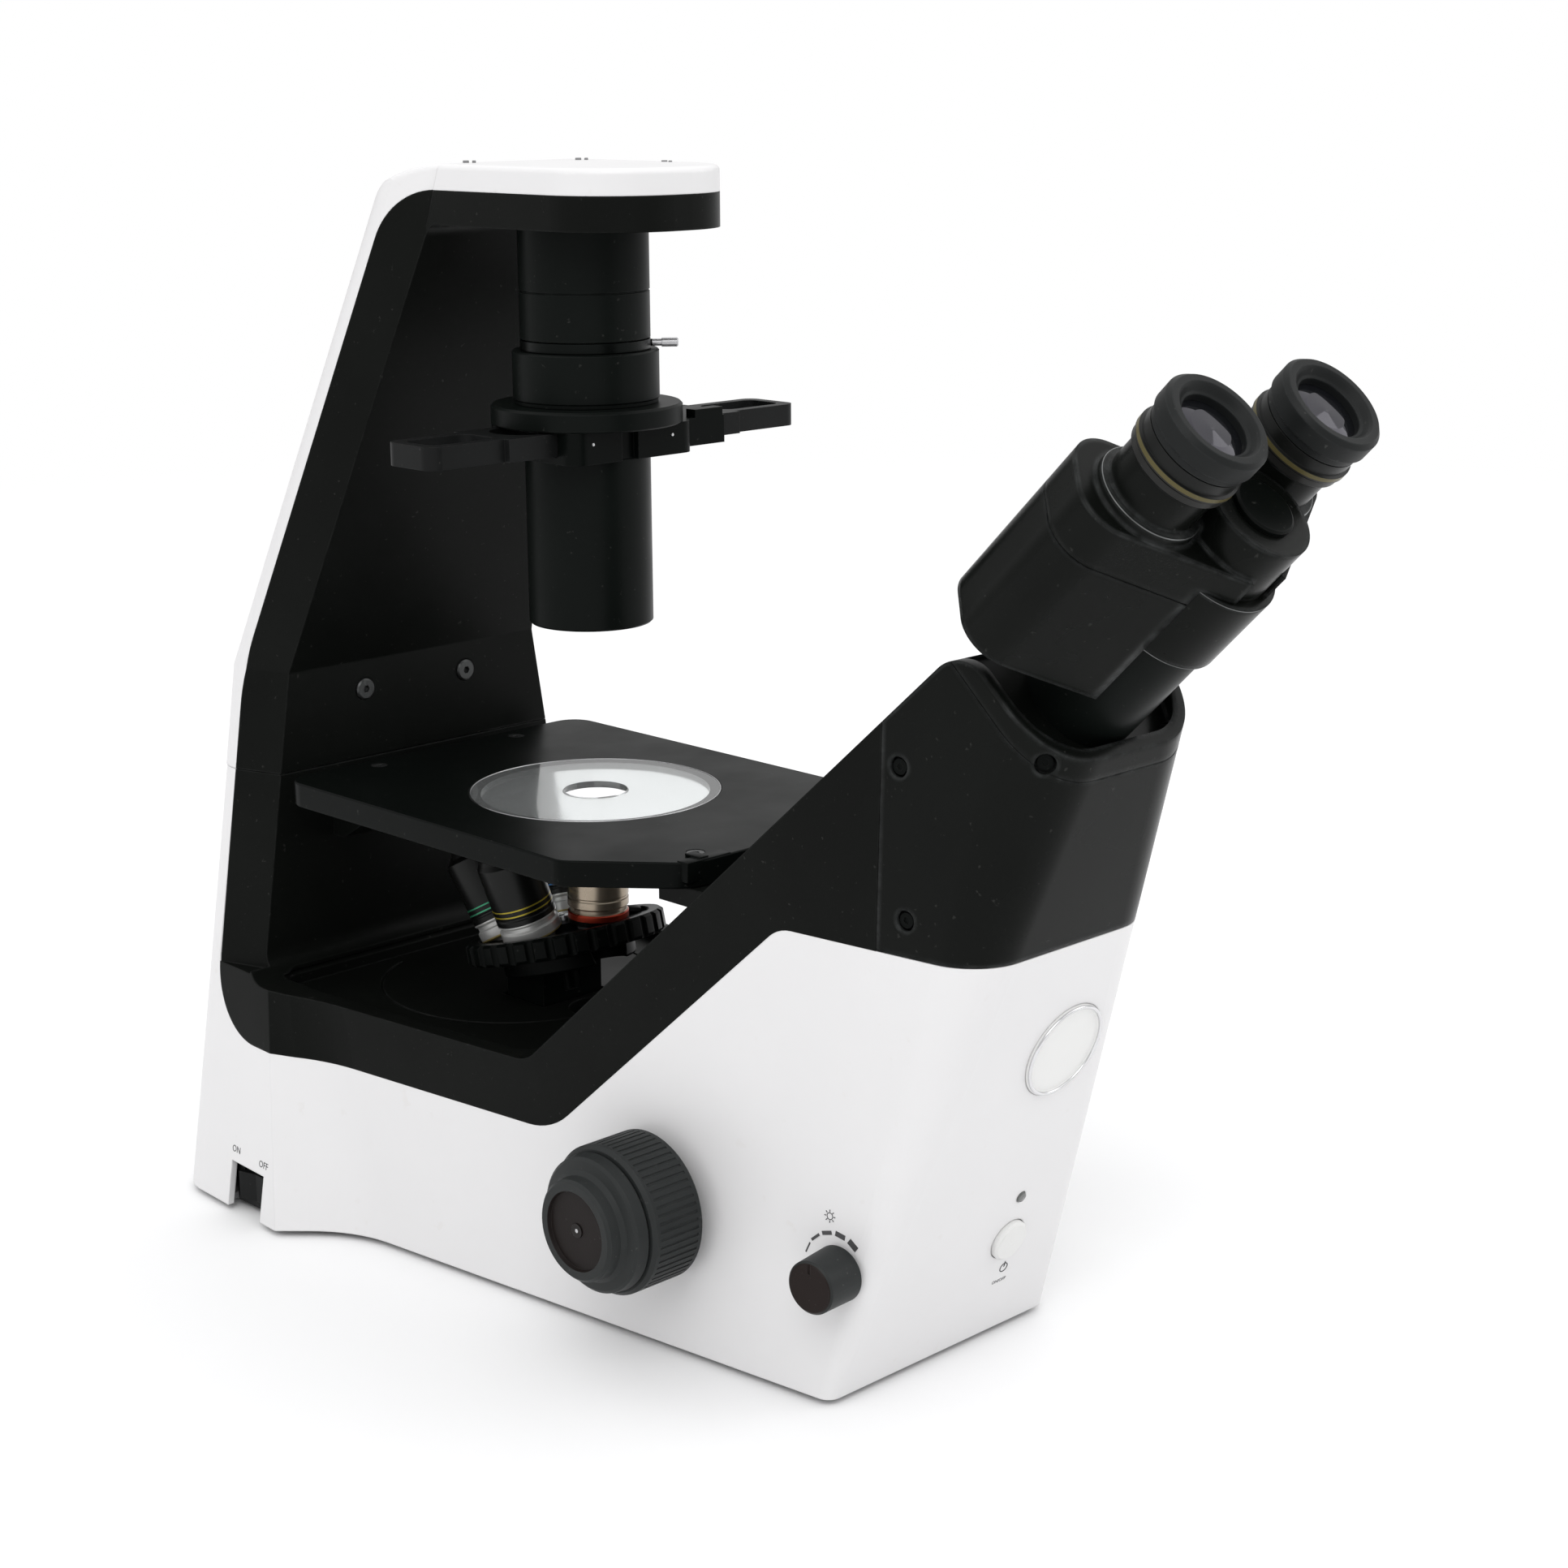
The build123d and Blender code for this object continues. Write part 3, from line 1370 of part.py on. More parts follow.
def main():
    os.makedirs("parts", exist_ok=True)
    shift = Pos(0, centre_y(), 0)
    made = {name: make() for name, make in pieces.items()}
    for name, kind in objective_kinds.items():
        made[name] = make_objective(*kind)
    made["coarse_knobs"] = Compound([make_coarse_knob(side) for side in (-1, 1)])
    made["fine_knobs"] = Compound([make_fine_knob(side) for side in (-1, 1)])
    for side, word in ((-1, "left"), (1, "right")):
        made["prism_housing_" + word] = make_prism_housing(side)
        made["eyepiece_" + word] = make_eyepiece(side)
        made["eye_ring_" + word] = make_eye_ring(side)
        made["eye_lens_" + word] = make_eye_lens(side)
    for name, solid in made.items():
        export_step(shift * solid, "parts/" + name + ".step")


main()
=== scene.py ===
import json
import math
import bpy
from mathutils import Matrix, Vector


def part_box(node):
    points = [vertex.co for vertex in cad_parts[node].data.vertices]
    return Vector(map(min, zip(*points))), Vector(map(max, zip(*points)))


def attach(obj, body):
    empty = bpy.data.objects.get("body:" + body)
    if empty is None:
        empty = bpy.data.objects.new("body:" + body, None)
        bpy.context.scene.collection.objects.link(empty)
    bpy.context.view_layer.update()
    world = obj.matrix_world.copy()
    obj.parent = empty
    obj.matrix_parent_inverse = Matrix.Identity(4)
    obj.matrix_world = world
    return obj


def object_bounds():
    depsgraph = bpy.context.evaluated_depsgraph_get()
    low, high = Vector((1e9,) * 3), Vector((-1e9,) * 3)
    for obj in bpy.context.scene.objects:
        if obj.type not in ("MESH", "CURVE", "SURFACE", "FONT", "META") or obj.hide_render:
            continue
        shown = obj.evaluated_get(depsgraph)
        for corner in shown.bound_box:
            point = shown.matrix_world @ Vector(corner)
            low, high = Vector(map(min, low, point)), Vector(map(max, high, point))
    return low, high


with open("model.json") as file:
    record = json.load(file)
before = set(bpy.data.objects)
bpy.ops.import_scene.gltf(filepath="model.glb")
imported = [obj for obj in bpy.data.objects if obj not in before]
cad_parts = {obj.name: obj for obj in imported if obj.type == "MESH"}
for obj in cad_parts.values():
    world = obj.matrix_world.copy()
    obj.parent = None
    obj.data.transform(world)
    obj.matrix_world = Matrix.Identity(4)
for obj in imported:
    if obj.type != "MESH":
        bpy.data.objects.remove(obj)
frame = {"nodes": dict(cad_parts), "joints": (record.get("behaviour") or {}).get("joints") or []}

# Inverted microscope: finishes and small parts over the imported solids.
# The frame is in metres. Lengths in the dictionaries are in mm unless a note says otherwise.

mm = 0.001
nodes = frame["nodes"]
joints = {joint["name"]: joint for joint in frame["joints"]}
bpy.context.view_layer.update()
across = Vector((1, 0, 0))
upwards = Vector((0, 0, 1))


# places that the small parts share

def middleOf(node):
    low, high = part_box(node)
    return (low + high) / 2


def topOf(node):
    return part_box(node)[1].z


opticalAxis = Vector((0, middleOf("lamp_tube").y, 0))
stageTop = topOf("stage_plate")
turretPivot = Vector(joints["turret_turn"]["pos_m"])
turretAxis = Vector(joints["turret_turn"]["axis"]).normalized()
tubeAxis = Vector(joints["left_dioptre_turn"]["axis"]).normalized()
eyeSpots = {side: Vector(joints[side + "_dioptre_turn"]["pos_m"]) for side in ("left", "right")}
hubSpot = Vector(joints["left_arm_swing"]["pos_m"])


def placeAt(spot, outward, upright=upwards):
    # local z points outward and local y leans to upright
    zAxis = Vector(outward).normalized()
    xAxis = Vector(upright).cross(zAxis).normalized()
    yAxis = zAxis.cross(xAxis)
    turn = Matrix((xAxis, yAxis, zAxis)).transposed().to_4x4()
    return Matrix.Translation(spot) @ turn


def spotOn(node, start, heading):
    # where a line from outside meets a solid, and which way the surface faces there
    hit, spot, normal, face = nodes[node].ray_cast(Vector(start), Vector(heading).normalized())
    if not hit:
        raise ValueError("nothing of " + node + " lies that way")
    return spot, normal


# helpers for the finishes' nodes

def newNode(tree, kind, **settings):
    node = tree.nodes.new("ShaderNode" + kind)
    for name, value in settings.items():
        setattr(node, name, value)
    return node


def noiseOf(tree, where, scale, detail=3.0, rough=0.5):
    node = newNode(tree, "TexNoise")
    node.inputs["Scale"].default_value = scale
    node.inputs["Detail"].default_value = detail
    node.inputs["Roughness"].default_value = rough
    tree.links.new(where, node.inputs["Vector"])
    return node.outputs["Fac"]


def spread(tree, value, low, high, toLow, toHigh):
    # carries low to toLow and high to toHigh, and stops at both ends
    node = newNode(tree, "MapRange")
    for name, number in (("From Min", low), ("From Max", high), ("To Min", toLow), ("To Max", toHigh)):
        node.inputs[name].default_value = number
    tree.links.new(value, node.inputs["Value"])
    return node.outputs["Result"]


def times(tree, first, second):
    node = newNode(tree, "Math", operation="MULTIPLY")
    tree.links.new(first, node.inputs[0])
    if isinstance(second, (int, float)):
        node.inputs[1].default_value = second
    else:
        tree.links.new(second, node.inputs[1])
    return node.outputs[0]


def largerOf(tree, first, second):
    node = newNode(tree, "Math", operation="MAXIMUM")
    tree.links.new(first, node.inputs[0])
    tree.links.new(second, node.inputs[1])
    return node.outputs[0]


def stretched(tree, where, factors):
    node = newNode(tree, "VectorMath", operation="MULTIPLY")
    node.inputs[1].default_value = factors
    tree.links.new(where, node.inputs[0])
    return node.outputs[0]


def lengthOf(tree, where):
    node = newNode(tree, "VectorMath", operation="LENGTH")
    tree.links.new(where, node.inputs[0])
    return node.outputs["Value"]


def partOf(tree, where, letter):
    node = newNode(tree, "SeparateXYZ")
    tree.links.new(where, node.inputs[0])
    return node.outputs[letter]


mixSockets = {"factor": 0, "first": 6, "second": 7, "result": 2}  # the colour sockets of a Mix node


def blendColour(tree, factor, first, second):
    node = newNode(tree, "Mix", data_type="RGBA")
    for name, value in (("first", first), ("second", second)):
        socket = node.inputs[mixSockets[name]]
        if isinstance(value, tuple):
            socket.default_value = (*value, 1)
        else:
            tree.links.new(value, socket)
    tree.links.new(factor, node.inputs[mixSockets["factor"]])
    return node.outputs[mixSockets["result"]]


def mixedShader(tree, factor, first, second):
    node = newNode(tree, "MixShader")
    for socket, value in zip(node.inputs, (factor, first, second)):
        tree.links.new(value, socket)
    return node.outputs[0]


def shade(colour, factor):
    return tuple(min(1.0, channel * factor) for channel in colour)


def startFinish(name):
    material = bpy.data.materials.new(name)
    material.use_nodes = True
    tree = material.node_tree
    tree.nodes.clear()
    output = newNode(tree, "OutputMaterial")
    shader = newNode(tree, "BsdfPrincipled")
    tree.links.new(shader.outputs[0], output.inputs[0])
    coords = newNode(tree, "TexCoord").outputs["Object"]
    return material, tree, shader, coords


# plain finishes: a cloudy colour with dust, lighter edges that are partly wear and partly a painted
# highlight, smudges and a fine grain

surface = {
    "cloudDetail": 4.0, "cloudRough": 0.6, "cloudRange": (0.35, 0.65),
    "speckDetail": 2.0, "speckRange": (0.70, 0.76),
    "edgeSamples": 4, "edgeRange": (0.985, 0.80),  # cosines between the true and the rounded normal
    "brokenScale": 160.0, "brokenRough": 0.6, "brokenRange": (0.35, 0.7), "brokenLeast": 0.2,
    "smudgeRough": 0.55, "smudgeRange": (0.3, 0.7),
    "grainDetail": 2.0, "grainRough": 0.6, "latheStretch": (0.02, 0.02, 1.0),
}


def edgeMask(tree, rounded):
    # 1 on an outer edge, 0 on the flat
    geometry = newNode(tree, "NewGeometry")
    dot = newNode(tree, "VectorMath", operation="DOT_PRODUCT")
    tree.links.new(rounded, dot.inputs[0])
    tree.links.new(geometry.outputs["Normal"], dot.inputs[1])
    return spread(tree, dot.outputs["Value"], *surface["edgeRange"], 0.0, 1.0)


def cloudyColour(tree, coords, look):
    cloud = noiseOf(tree, coords, look["cloudScale"], surface["cloudDetail"], surface["cloudRough"])
    factor = spread(tree, cloud, *surface["cloudRange"], 0.0, 1.0)
    return blendColour(tree, factor, shade(look["colour"], 1 - look["cloud"]),
                       shade(look["colour"], 1 + look["cloud"]))


def dusted(tree, coords, look, colour):
    specks = noiseOf(tree, coords, look["dustScale"], surface["speckDetail"])
    dusty = spread(tree, specks, *surface["speckRange"], 0.0, look["dust"])
    return blendColour(tree, dusty, colour, look["dustColour"])


def worn(tree, coords, look, colour, rounded):
    # lightens the outer edges: partly wear, partly a painted highlight where light catches them
    edgeBreakup = noiseOf(tree, coords, surface["brokenScale"], rough=surface["brokenRough"])
    broken = spread(tree, edgeBreakup, *surface["brokenRange"], surface["brokenLeast"], 1.0)
    mask = times(tree, edgeMask(tree, rounded), times(tree, broken, look["worn"]))
    return blendColour(tree, mask, colour, look["wornColour"])


def latheCoords(tree, coords, turning):
    # lathe marks run round the axis, so the grain only varies along it
    mapping = newNode(tree, "Mapping", vector_type="TEXTURE")
    mapping.inputs["Rotation"].default_value = turning
    tree.links.new(coords, mapping.inputs["Vector"])
    return stretched(tree, mapping.outputs[0], surface["latheStretch"])


def finish(name, look, paint=None):
    # paint, where given, draws the colour instead of the clouds
    material, tree, shader, coords = startFinish(name)
    if paint is None:
        colour = cloudyColour(tree, coords, look)
    else:
        colour = paint(tree, coords)
    rounded = newNode(tree, "Bevel", samples=surface["edgeSamples"])
    rounded.inputs["Radius"].default_value = look["edge"] * mm
    if look["dust"] > 0:
        colour = dusted(tree, coords, look, colour)
    # lighter edges, partly wear and partly a painted highlight
    if look["worn"] > 0:
        colour = worn(tree, coords, look, colour, rounded.outputs[0])
    tree.links.new(colour, shader.inputs["Base Color"])
    smudge = noiseOf(tree, coords, look["smudgeScale"], rough=surface["smudgeRough"])
    rough = spread(tree, smudge, *surface["smudgeRange"], look["rough"] - look["smudge"],
                   look["rough"] + look["smudge"])
    tree.links.new(rough, shader.inputs["Roughness"])
    grainWhere = coords
    if look["turning"] is not None:
        grainWhere = latheCoords(tree, coords, look["turning"])
    grain = noiseOf(tree, grainWhere, look["grainScale"], surface["grainDetail"], surface["grainRough"])
    bump = newNode(tree, "Bump")
    bump.inputs["Strength"].default_value = 1.0
    bump.inputs["Distance"].default_value = look["grain"] * mm
    tree.links.new(grain, bump.inputs["Height"])
    tree.links.new(rounded.outputs[0], bump.inputs["Normal"])
    tree.links.new(bump.outputs[0], shader.inputs["Normal"])
    shader.inputs["Metallic"].default_value = look["metal"]
    shader.inputs["Specular IOR Level"].default_value = look["specular"]
    shader.inputs["Coat Weight"].default_value = look["coat"]
    shader.inputs["Coat Roughness"].default_value = look["coatRough"]
    return material


plainLook = {
    "colour": (0.5, 0.5, 0.5), "cloud": 0.03, "cloudScale": 14.0, "dust": 0.0, "dustScale": 420.0,
    "dustColour": (0.30, 0.30, 0.28), "worn": 0.0, "wornColour": (0.3, 0.3, 0.3), "rough": 0.45,
    "smudge": 0.05, "smudgeScale": 22.0, "grain": 0.02, "grainScale": 900.0, "metal": 0.0,
    "specular": 0.5, "coat": 0.0, "coatRough": 0.1, "edge": 0.5, "turning": None,
}


def lookWith(**changes):
    look = dict(plainLook)
    look.update(changes)
    return look


# the wear and highlight colour, lighter than the base on most finishes, is partly wear and partly a painted
# edge highlight
looks = {
    "whitePaint": lookWith(colour=(0.725, 0.72, 0.725), cloud=0.012, cloudScale=7.0, dust=0.10,
                           dustScale=130.0, dustColour=(0.55, 0.50, 0.44), rough=0.42, grain=0.015,
                           grainScale=1300.0, edge=0.9, worn=0.15, wornColour=(0.86, 0.86, 0.85),
                           coat=0.15, coatRough=0.25),
    "blackPaint": lookWith(colour=(0.0042, 0.0048, 0.0042), cloud=0.15, dust=0.05, rough=0.36,
                           grain=0.030, grainScale=1500.0, edge=1.1, worn=0.45,
                           wornColour=(0.040, 0.042, 0.040), specular=0.06),
    # its wide, light edges are a painted highlight on the tower's rounded rim, with some wear
    "mouldedPaint": lookWith(colour=(0.0034, 0.0040, 0.0034), cloud=0.15, dust=0.05, rough=0.26,
                             grain=0.02, grainScale=1500.0, edge=3.2, worn=0.7,
                             wornColour=(0.075, 0.080, 0.080), specular=0.08),
    "blackMetal": lookWith(colour=(0.0022, 0.0030, 0.0026), cloud=0.12, dust=0.06, rough=0.34,
                           grain=0.010, grainScale=1700.0, edge=0.5, worn=0.4,
                           wornColour=(0.05, 0.05, 0.048), specular=0.05),
    "turnedBlack": lookWith(colour=(0.0038, 0.0050, 0.0044), cloud=0.12, dust=0.05, rough=0.36,
                            grain=0.008, grainScale=2200.0, edge=0.4, worn=0.5,
                            wornColour=(0.06, 0.06, 0.058), specular=0.06, turning=(0, 0, 0)),
    "blackPlastic": lookWith(colour=(0.007, 0.0075, 0.0075), cloud=0.12, dust=0.06, rough=0.42,
                             grain=0.03, grainScale=1300.0, edge=0.5, worn=0.4,
                             wornColour=(0.05, 0.05, 0.05), specular=0.1),
    "knobPlastic": lookWith(colour=(0.021, 0.023, 0.023), cloud=0.14, dust=0.12, rough=0.46,
                            grain=0.03, grainScale=1100.0, edge=0.4, worn=0.5,
                            wornColour=(0.075, 0.075, 0.073), specular=0.14),
    "rubber": lookWith(colour=(0.010, 0.011, 0.011), cloud=0.15, dust=0.10, rough=0.46, grain=0.03,
                       grainScale=1000.0, edge=0.9, worn=0.6, wornColour=(0.07, 0.076, 0.076),
                       specular=0.12),
    "darkSteel": lookWith(colour=(0.06, 0.062, 0.062), cloud=0.08, rough=0.34, metal=0.8,
                          grain=0.006, edge=0.3),
    "steel": lookWith(colour=(0.52, 0.52, 0.53), cloud=0.05, rough=0.28, smudge=0.08, grain=0.006,
                      grainScale=2500.0, metal=1.0, edge=0.25),
    "chrome": lookWith(colour=(0.70, 0.70, 0.71), cloud=0.04, rough=0.14, smudge=0.05, grain=0.004,
                       metal=1.0, edge=0.3),
    # a bright metal for thin rings that are painted edge highlights
    "wornEdge": lookWith(colour=(0.16, 0.165, 0.165), cloud=0.3, cloudScale=60.0, rough=0.3,
                         metal=0.85, grain=0.006, edge=0.2),
    "brass": lookWith(colour=(0.50, 0.37, 0.16), cloud=0.08, rough=0.3, metal=1.0, grain=0.005,
                      edge=0.2),
    "badgeFace": lookWith(colour=(0.74, 0.74, 0.73), cloud=0.02, rough=0.3, grain=0.006, edge=0.3,
                          coat=0.3),
    "buttonPaint": lookWith(colour=(0.72, 0.72, 0.71), cloud=0.02, rough=0.36, grain=0.01, edge=0.5,
                            coat=0.2),
    "greyPlate": lookWith(colour=(0.20, 0.20, 0.205), cloud=0.06, rough=0.5, edge=0.3),
    "ink": lookWith(colour=(0.05, 0.05, 0.052), cloud=0.1, rough=0.55, grain=0.01, edge=0.05),
    "mirrorSilver": lookWith(colour=(0.85, 0.86, 0.88), rough=0.05, smudge=0.02, metal=1.0,
                             grain=0.001, edge=0.2),
}
finishes = {name: finish(name, look) for name, look in looks.items()}
print("stage: plain finishes made")


# banded finishes, whose colour changes along an axis or away from it

def eulerOf(axis):
    return tuple(upwards.rotation_difference(axis).to_euler())


def bandPainter(origin, axis, bands, around=False):
    # each band is where its colour starts, in mm along the axis or away from it, and the colour
    def paint(tree, coords):
        mapping = newNode(tree, "Mapping", vector_type="TEXTURE")
        mapping.inputs["Location"].default_value = origin
        mapping.inputs["Rotation"].default_value = eulerOf(axis)
        tree.links.new(coords, mapping.inputs["Vector"])
        first = bands[0][0]
        last = bands[-1][0] + 1  # the ramp ends 1 mm past the last start
        if around:
            measured = lengthOf(tree, stretched(tree, mapping.outputs[0], (1, 1, 0)))
        else:
            measured = partOf(tree, mapping.outputs[0], "Z")
        along = spread(tree, measured, first * mm, last * mm, 0.0, 1.0)
        ramp = newNode(tree, "ValToRGB")
        ramp.color_ramp.interpolation = "CONSTANT"
        stops = ramp.color_ramp.elements
        while len(stops) < len(bands):
            stops.new(0.5)
        for stop, (start, colour) in zip(stops, bands):
            stop.position = (start - first) / (last - first)
            stop.color = (*colour, 1)
        tree.links.new(along, ramp.inputs[0])
        return ramp.outputs[0]
    return paint


# objectives: heights are from the seat, and foot and tip lie past both ends

objectiveLook = {
    "seats": 5, "seatDrop": 60.0, "foot": -20.0, "tip": 60.0,
    "black": (0.007, 0.0075, 0.007), "cone": (0.50, 0.50, 0.49), "gold": (0.42, 0.33, 0.12),
    "champagne": (0.36, 0.30, 0.23),
    "goldTop": 1.2, "coneTop": 9.0, "lowRing": (13.4, 14.1), "highRing": (16.0, 16.5),
    "collarTop": 2.6, "ringTop": 5.4, "paleRing": (29.0, 31.0),
}
objectiveRings = {
    "objectiveYellow": (1, (0.40, 0.32, 0.03)),
    "objectiveGreen": (2, (0.05, 0.30, 0.16)),
    "objectiveBlue": (3, (0.04, 0.16, 0.42)),
}
brightRing = (0.42, 0.045, 0.02)


def objectiveSeat(index):
    # the seats lie on a circle about the turret's pivot, the working one on the optical axis
    look = objectiveLook
    workingSeat = Vector((0, opticalAxis.y, stageTop - look["seatDrop"] * mm)) - turretPivot
    turn = Matrix.Rotation(-index * math.tau / look["seats"], 3, turretAxis)
    return turretPivot + turn @ workingSeat, turn @ upwards


def blackObjective(name, index, ringColour):
    look = objectiveLook
    seat, upright = objectiveSeat(index)
    bands = [(look["foot"], look["cone"]), (0, look["gold"]), (look["goldTop"], look["cone"]),
             (look["coneTop"], look["black"])]
    for start, end in (look["lowRing"], look["highRing"]):
        bands += [(start, ringColour), (end, look["black"])]
    bands.append((look["tip"], look["black"]))
    metalLook = lookWith(rough=0.34, metal=0.55, specular=0.4, dust=0.05, grain=0.006,
                         grainScale=2200.0, edge=0.25, turning=eulerOf(upright))
    return finish(name, metalLook, bandPainter(seat, upright, bands))


def brightObjective(name, index, ringColour):
    look = objectiveLook
    seat, upright = objectiveSeat(index)
    paleStart, paleEnd = look["paleRing"]
    bands = [(look["foot"], look["cone"]), (0, look["black"]), (look["collarTop"], ringColour),
             (look["ringTop"], look["champagne"]), (paleStart, look["cone"]),
             (paleEnd, look["champagne"]), (look["tip"], look["champagne"])]
    metalLook = lookWith(rough=0.3, metal=0.8, dust=0.04, grain=0.006, grainScale=2200.0, edge=0.25,
                         turning=eulerOf(upright))
    return finish(name, metalLook, bandPainter(seat, upright, bands))


finishes["objectiveRed"] = brightObjective("objectiveRed", 0, brightRing)
for ringName, (seatIndex, ringColour) in objectiveRings.items():
    finishes[ringName] = blackObjective(ringName, seatIndex, ringColour)


# eyepieces: heights are from the pivot spot of the dioptre turn

eyepieceLook = {
    "foot": -60.0, "greyFrom": -22.9, "goldFrom": -18.9, "goldTo": -17.3,
    "black": (0.006, 0.0065, 0.006), "grey": (0.016, 0.016, 0.015), "gold": (0.085, 0.072, 0.028),
}


def eyepieceFinish(side):
    look = eyepieceLook
    bands = [(look["foot"], look["black"]), (look["greyFrom"], look["grey"]),
             (look["goldFrom"], look["gold"]), (look["goldTo"], look["black"]), (0, look["black"])]
    metalLook = lookWith(rough=0.34, metal=0.2, specular=0.2, dust=0.06, grain=0.008,
                         grainScale=2000.0, edge=0.4, turning=eulerOf(tubeAxis))
    return finish("eyepieceMetal_" + side, metalLook, bandPainter(eyeSpots[side], tubeAxis, bands))


finishes["eyepieceLeft"] = eyepieceFinish("left")
finishes["eyepieceRight"] = eyepieceFinish("right")


# controls: knobs, shaft and the aperture's ring

facePlastic = (0.011, 0.0065, 0.0055)  # the brightness knob's brown face


def apertureFinish():
    # a black ring with a bright pin that sticks out of it
    values = {"clear": 0.4, "pinLong": 40.0}
    ringOuter = (opticalAxis.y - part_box("aperture_ring")[0].y) / mm
    steelColour = looks["steel"]["colour"]
    bands = [(0, looks["turnedBlack"]["colour"]), (ringOuter + values["clear"], steelColour),
             (ringOuter + values["pinLong"], steelColour)]
    look = lookWith(rough=0.3, metal=0.7, specular=0.2, grain=0.006, edge=0.25)
    return finish("apertureMetal", look, bandPainter(opticalAxis, upwards, bands, around=True))


def shaftFinish():
    # the shaft's blackened end shows a small bright centre
    values = {"centre": 0.8, "outside": 20.0, "black": (0.008, 0.006, 0.005)}
    bands = [(0, looks["steel"]["colour"]), (values["centre"], values["black"]),
             (values["outside"], values["black"])]
    look = lookWith(rough=0.35, metal=0.5, specular=0.3, grain=0.006, edge=0.2)
    return finish("shaftMetal", look, bandPainter(middleOf("fine_shaft"), across, bands, around=True))


def dimmerFinish():
    # the outer face is brown, the side grey
    values = {"outside": 60.0, "faceDepth": 0.5, "ahead": 5.0}
    turnAxis = Vector(joints["brightness_turn"]["axis"]).normalized()
    if turnAxis.x > 0:
        turnAxis = -turnAxis
    start = middleOf("brightness_knob") + turnAxis * values["outside"] * mm
    place, normal = spotOn("brightness_knob", start, -turnAxis)
    bands = [(-values["outside"], looks["knobPlastic"]["colour"]), (-values["faceDepth"], facePlastic),
             (values["ahead"], facePlastic)]
    return finish("dimmerPlastic", looks["knobPlastic"], bandPainter(place, turnAxis, bands))


def fineKnobFinish():
    # the outer faces are dark against the knobs' grey sides; their brown tint is a painted warm reflection
    values = {"face": (0.0075, 0.0048, 0.0042), "faceRadius": 16.3, "faceDepth": 2.0, "fade": 0.2,
              "depthFade": 0.1, "cloud": 0.1, "cloudScale": 40.0, "cloudRough": 0.6}
    spot = middleOf("fine_knobs")
    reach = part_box("fine_knobs")[1].x
    look = looks["knobPlastic"]

    def paint(tree, coords):
        away = newNode(tree, "Math", operation="ABSOLUTE")
        tree.links.new(partOf(tree, coords, "X"), away.inputs[0])
        faceFrom = reach - values["faceDepth"] * mm
        outer = spread(tree, away.outputs[0], faceFrom, faceFrom + values["depthFade"] * mm, 0.0, 1.0)
        shift = newNode(tree, "VectorMath", operation="SUBTRACT")
        shift.inputs[1].default_value = (0, spot.y, spot.z)
        tree.links.new(coords, shift.inputs[0])
        radius = lengthOf(tree, stretched(tree, shift.outputs[0], (0, 1, 1)))
        faceEdge = values["faceRadius"] * mm
        inner = spread(tree, radius, faceEdge, faceEdge + values["fade"] * mm, 1.0, 0.0)
        cloud = noiseOf(tree, coords, values["cloudScale"], rough=values["cloudRough"])
        side = blendColour(tree, cloud, shade(look["colour"], 1 - values["cloud"]),
                           shade(look["colour"], 1 + values["cloud"]))
        return blendColour(tree, times(tree, outer, inner), side, values["face"])
    return finish("fineKnobPlastic", look, paint)


finishes["aperture"] = apertureFinish()
finishes["shaft"] = shaftFinish()
finishes["dimmer"] = dimmerFinish()
finishes["fineKnob"] = fineKnobFinish()


# glass, lenses and lamps

def glassFinish(name, tint, rough, transmission):
    values = {"filmScale": 30.0, "filmRough": 0.6, "filmRange": (0.3, 0.7), "smear": 0.05, "ior": 1.5}
    material, tree, shader, coords = startFinish(name)
    film = noiseOf(tree, coords, values["filmScale"], rough=values["filmRough"])
    smeared = spread(tree, film, *values["filmRange"], rough, rough + values["smear"])
    tree.links.new(smeared, shader.inputs["Roughness"])
    shader.inputs["Base Color"].default_value = (*tint, 1)
    shader.inputs["Transmission Weight"].default_value = transmission
    shader.inputs["IOR"].default_value = values["ior"]
    return material


def coatedLens(name):
    # dark glass with a faint coloured coating
    values = {"cloudScale": 60.0, "cloudDetail": 2.0, "dark": (0.004, 0.004, 0.006),
              "pale": (0.007, 0.008, 0.008), "rough": 0.04, "ior": 1.45, "coating": (0.85, 0.80, 1.0)}
    material, tree, shader, coords = startFinish(name)
    cloud = noiseOf(tree, coords, values["cloudScale"], values["cloudDetail"])
    tree.links.new(blendColour(tree, cloud, values["dark"], values["pale"]), shader.inputs["Base Color"])
    shader.inputs["Roughness"].default_value = values["rough"]
    shader.inputs["IOR"].default_value = values["ior"]
    shader.inputs["Specular Tint"].default_value = (*values["coating"], 1)
    return material


def lampFinish(name, colour, strength):
    values = {"depthScale": 200.0, "depthDetail": 2.0, "depth": 0.8, "rough": 0.12, "coat": 0.6}
    material, tree, shader, coords = startFinish(name)
    depth = noiseOf(tree, coords, values["depthScale"], values["depthDetail"])
    cloudy = blendColour(tree, depth, shade(colour, values["depth"]), colour)
    tree.links.new(cloudy, shader.inputs["Base Color"])
    shader.inputs["Roughness"].default_value = values["rough"]
    shader.inputs["Emission Color"].default_value = (*colour, 1)
    shader.inputs["Emission Strength"].default_value = strength
    shader.inputs["Coat Weight"].default_value = values["coat"]
    return material


finishes["clearGlass"] = glassFinish("clearGlass", tint=(0.93, 0.97, 0.97), rough=0.02, transmission=1.0)
finishes["stageGlass"] = glassFinish("stageGlass", tint=(0.90, 0.93, 0.93), rough=0.04, transmission=0.9)
finishes["coatedLens"] = coatedLens("coatedLens")
finishes["ledLens"] = lampFinish("ledLens", colour=(0.10, 0.105, 0.10), strength=0.0)
finishes["whiteLamp"] = lampFinish("whiteLamp", colour=(0.85, 0.85, 0.75), strength=0.2)
print("stage: banded finishes, lenses and lamps made")

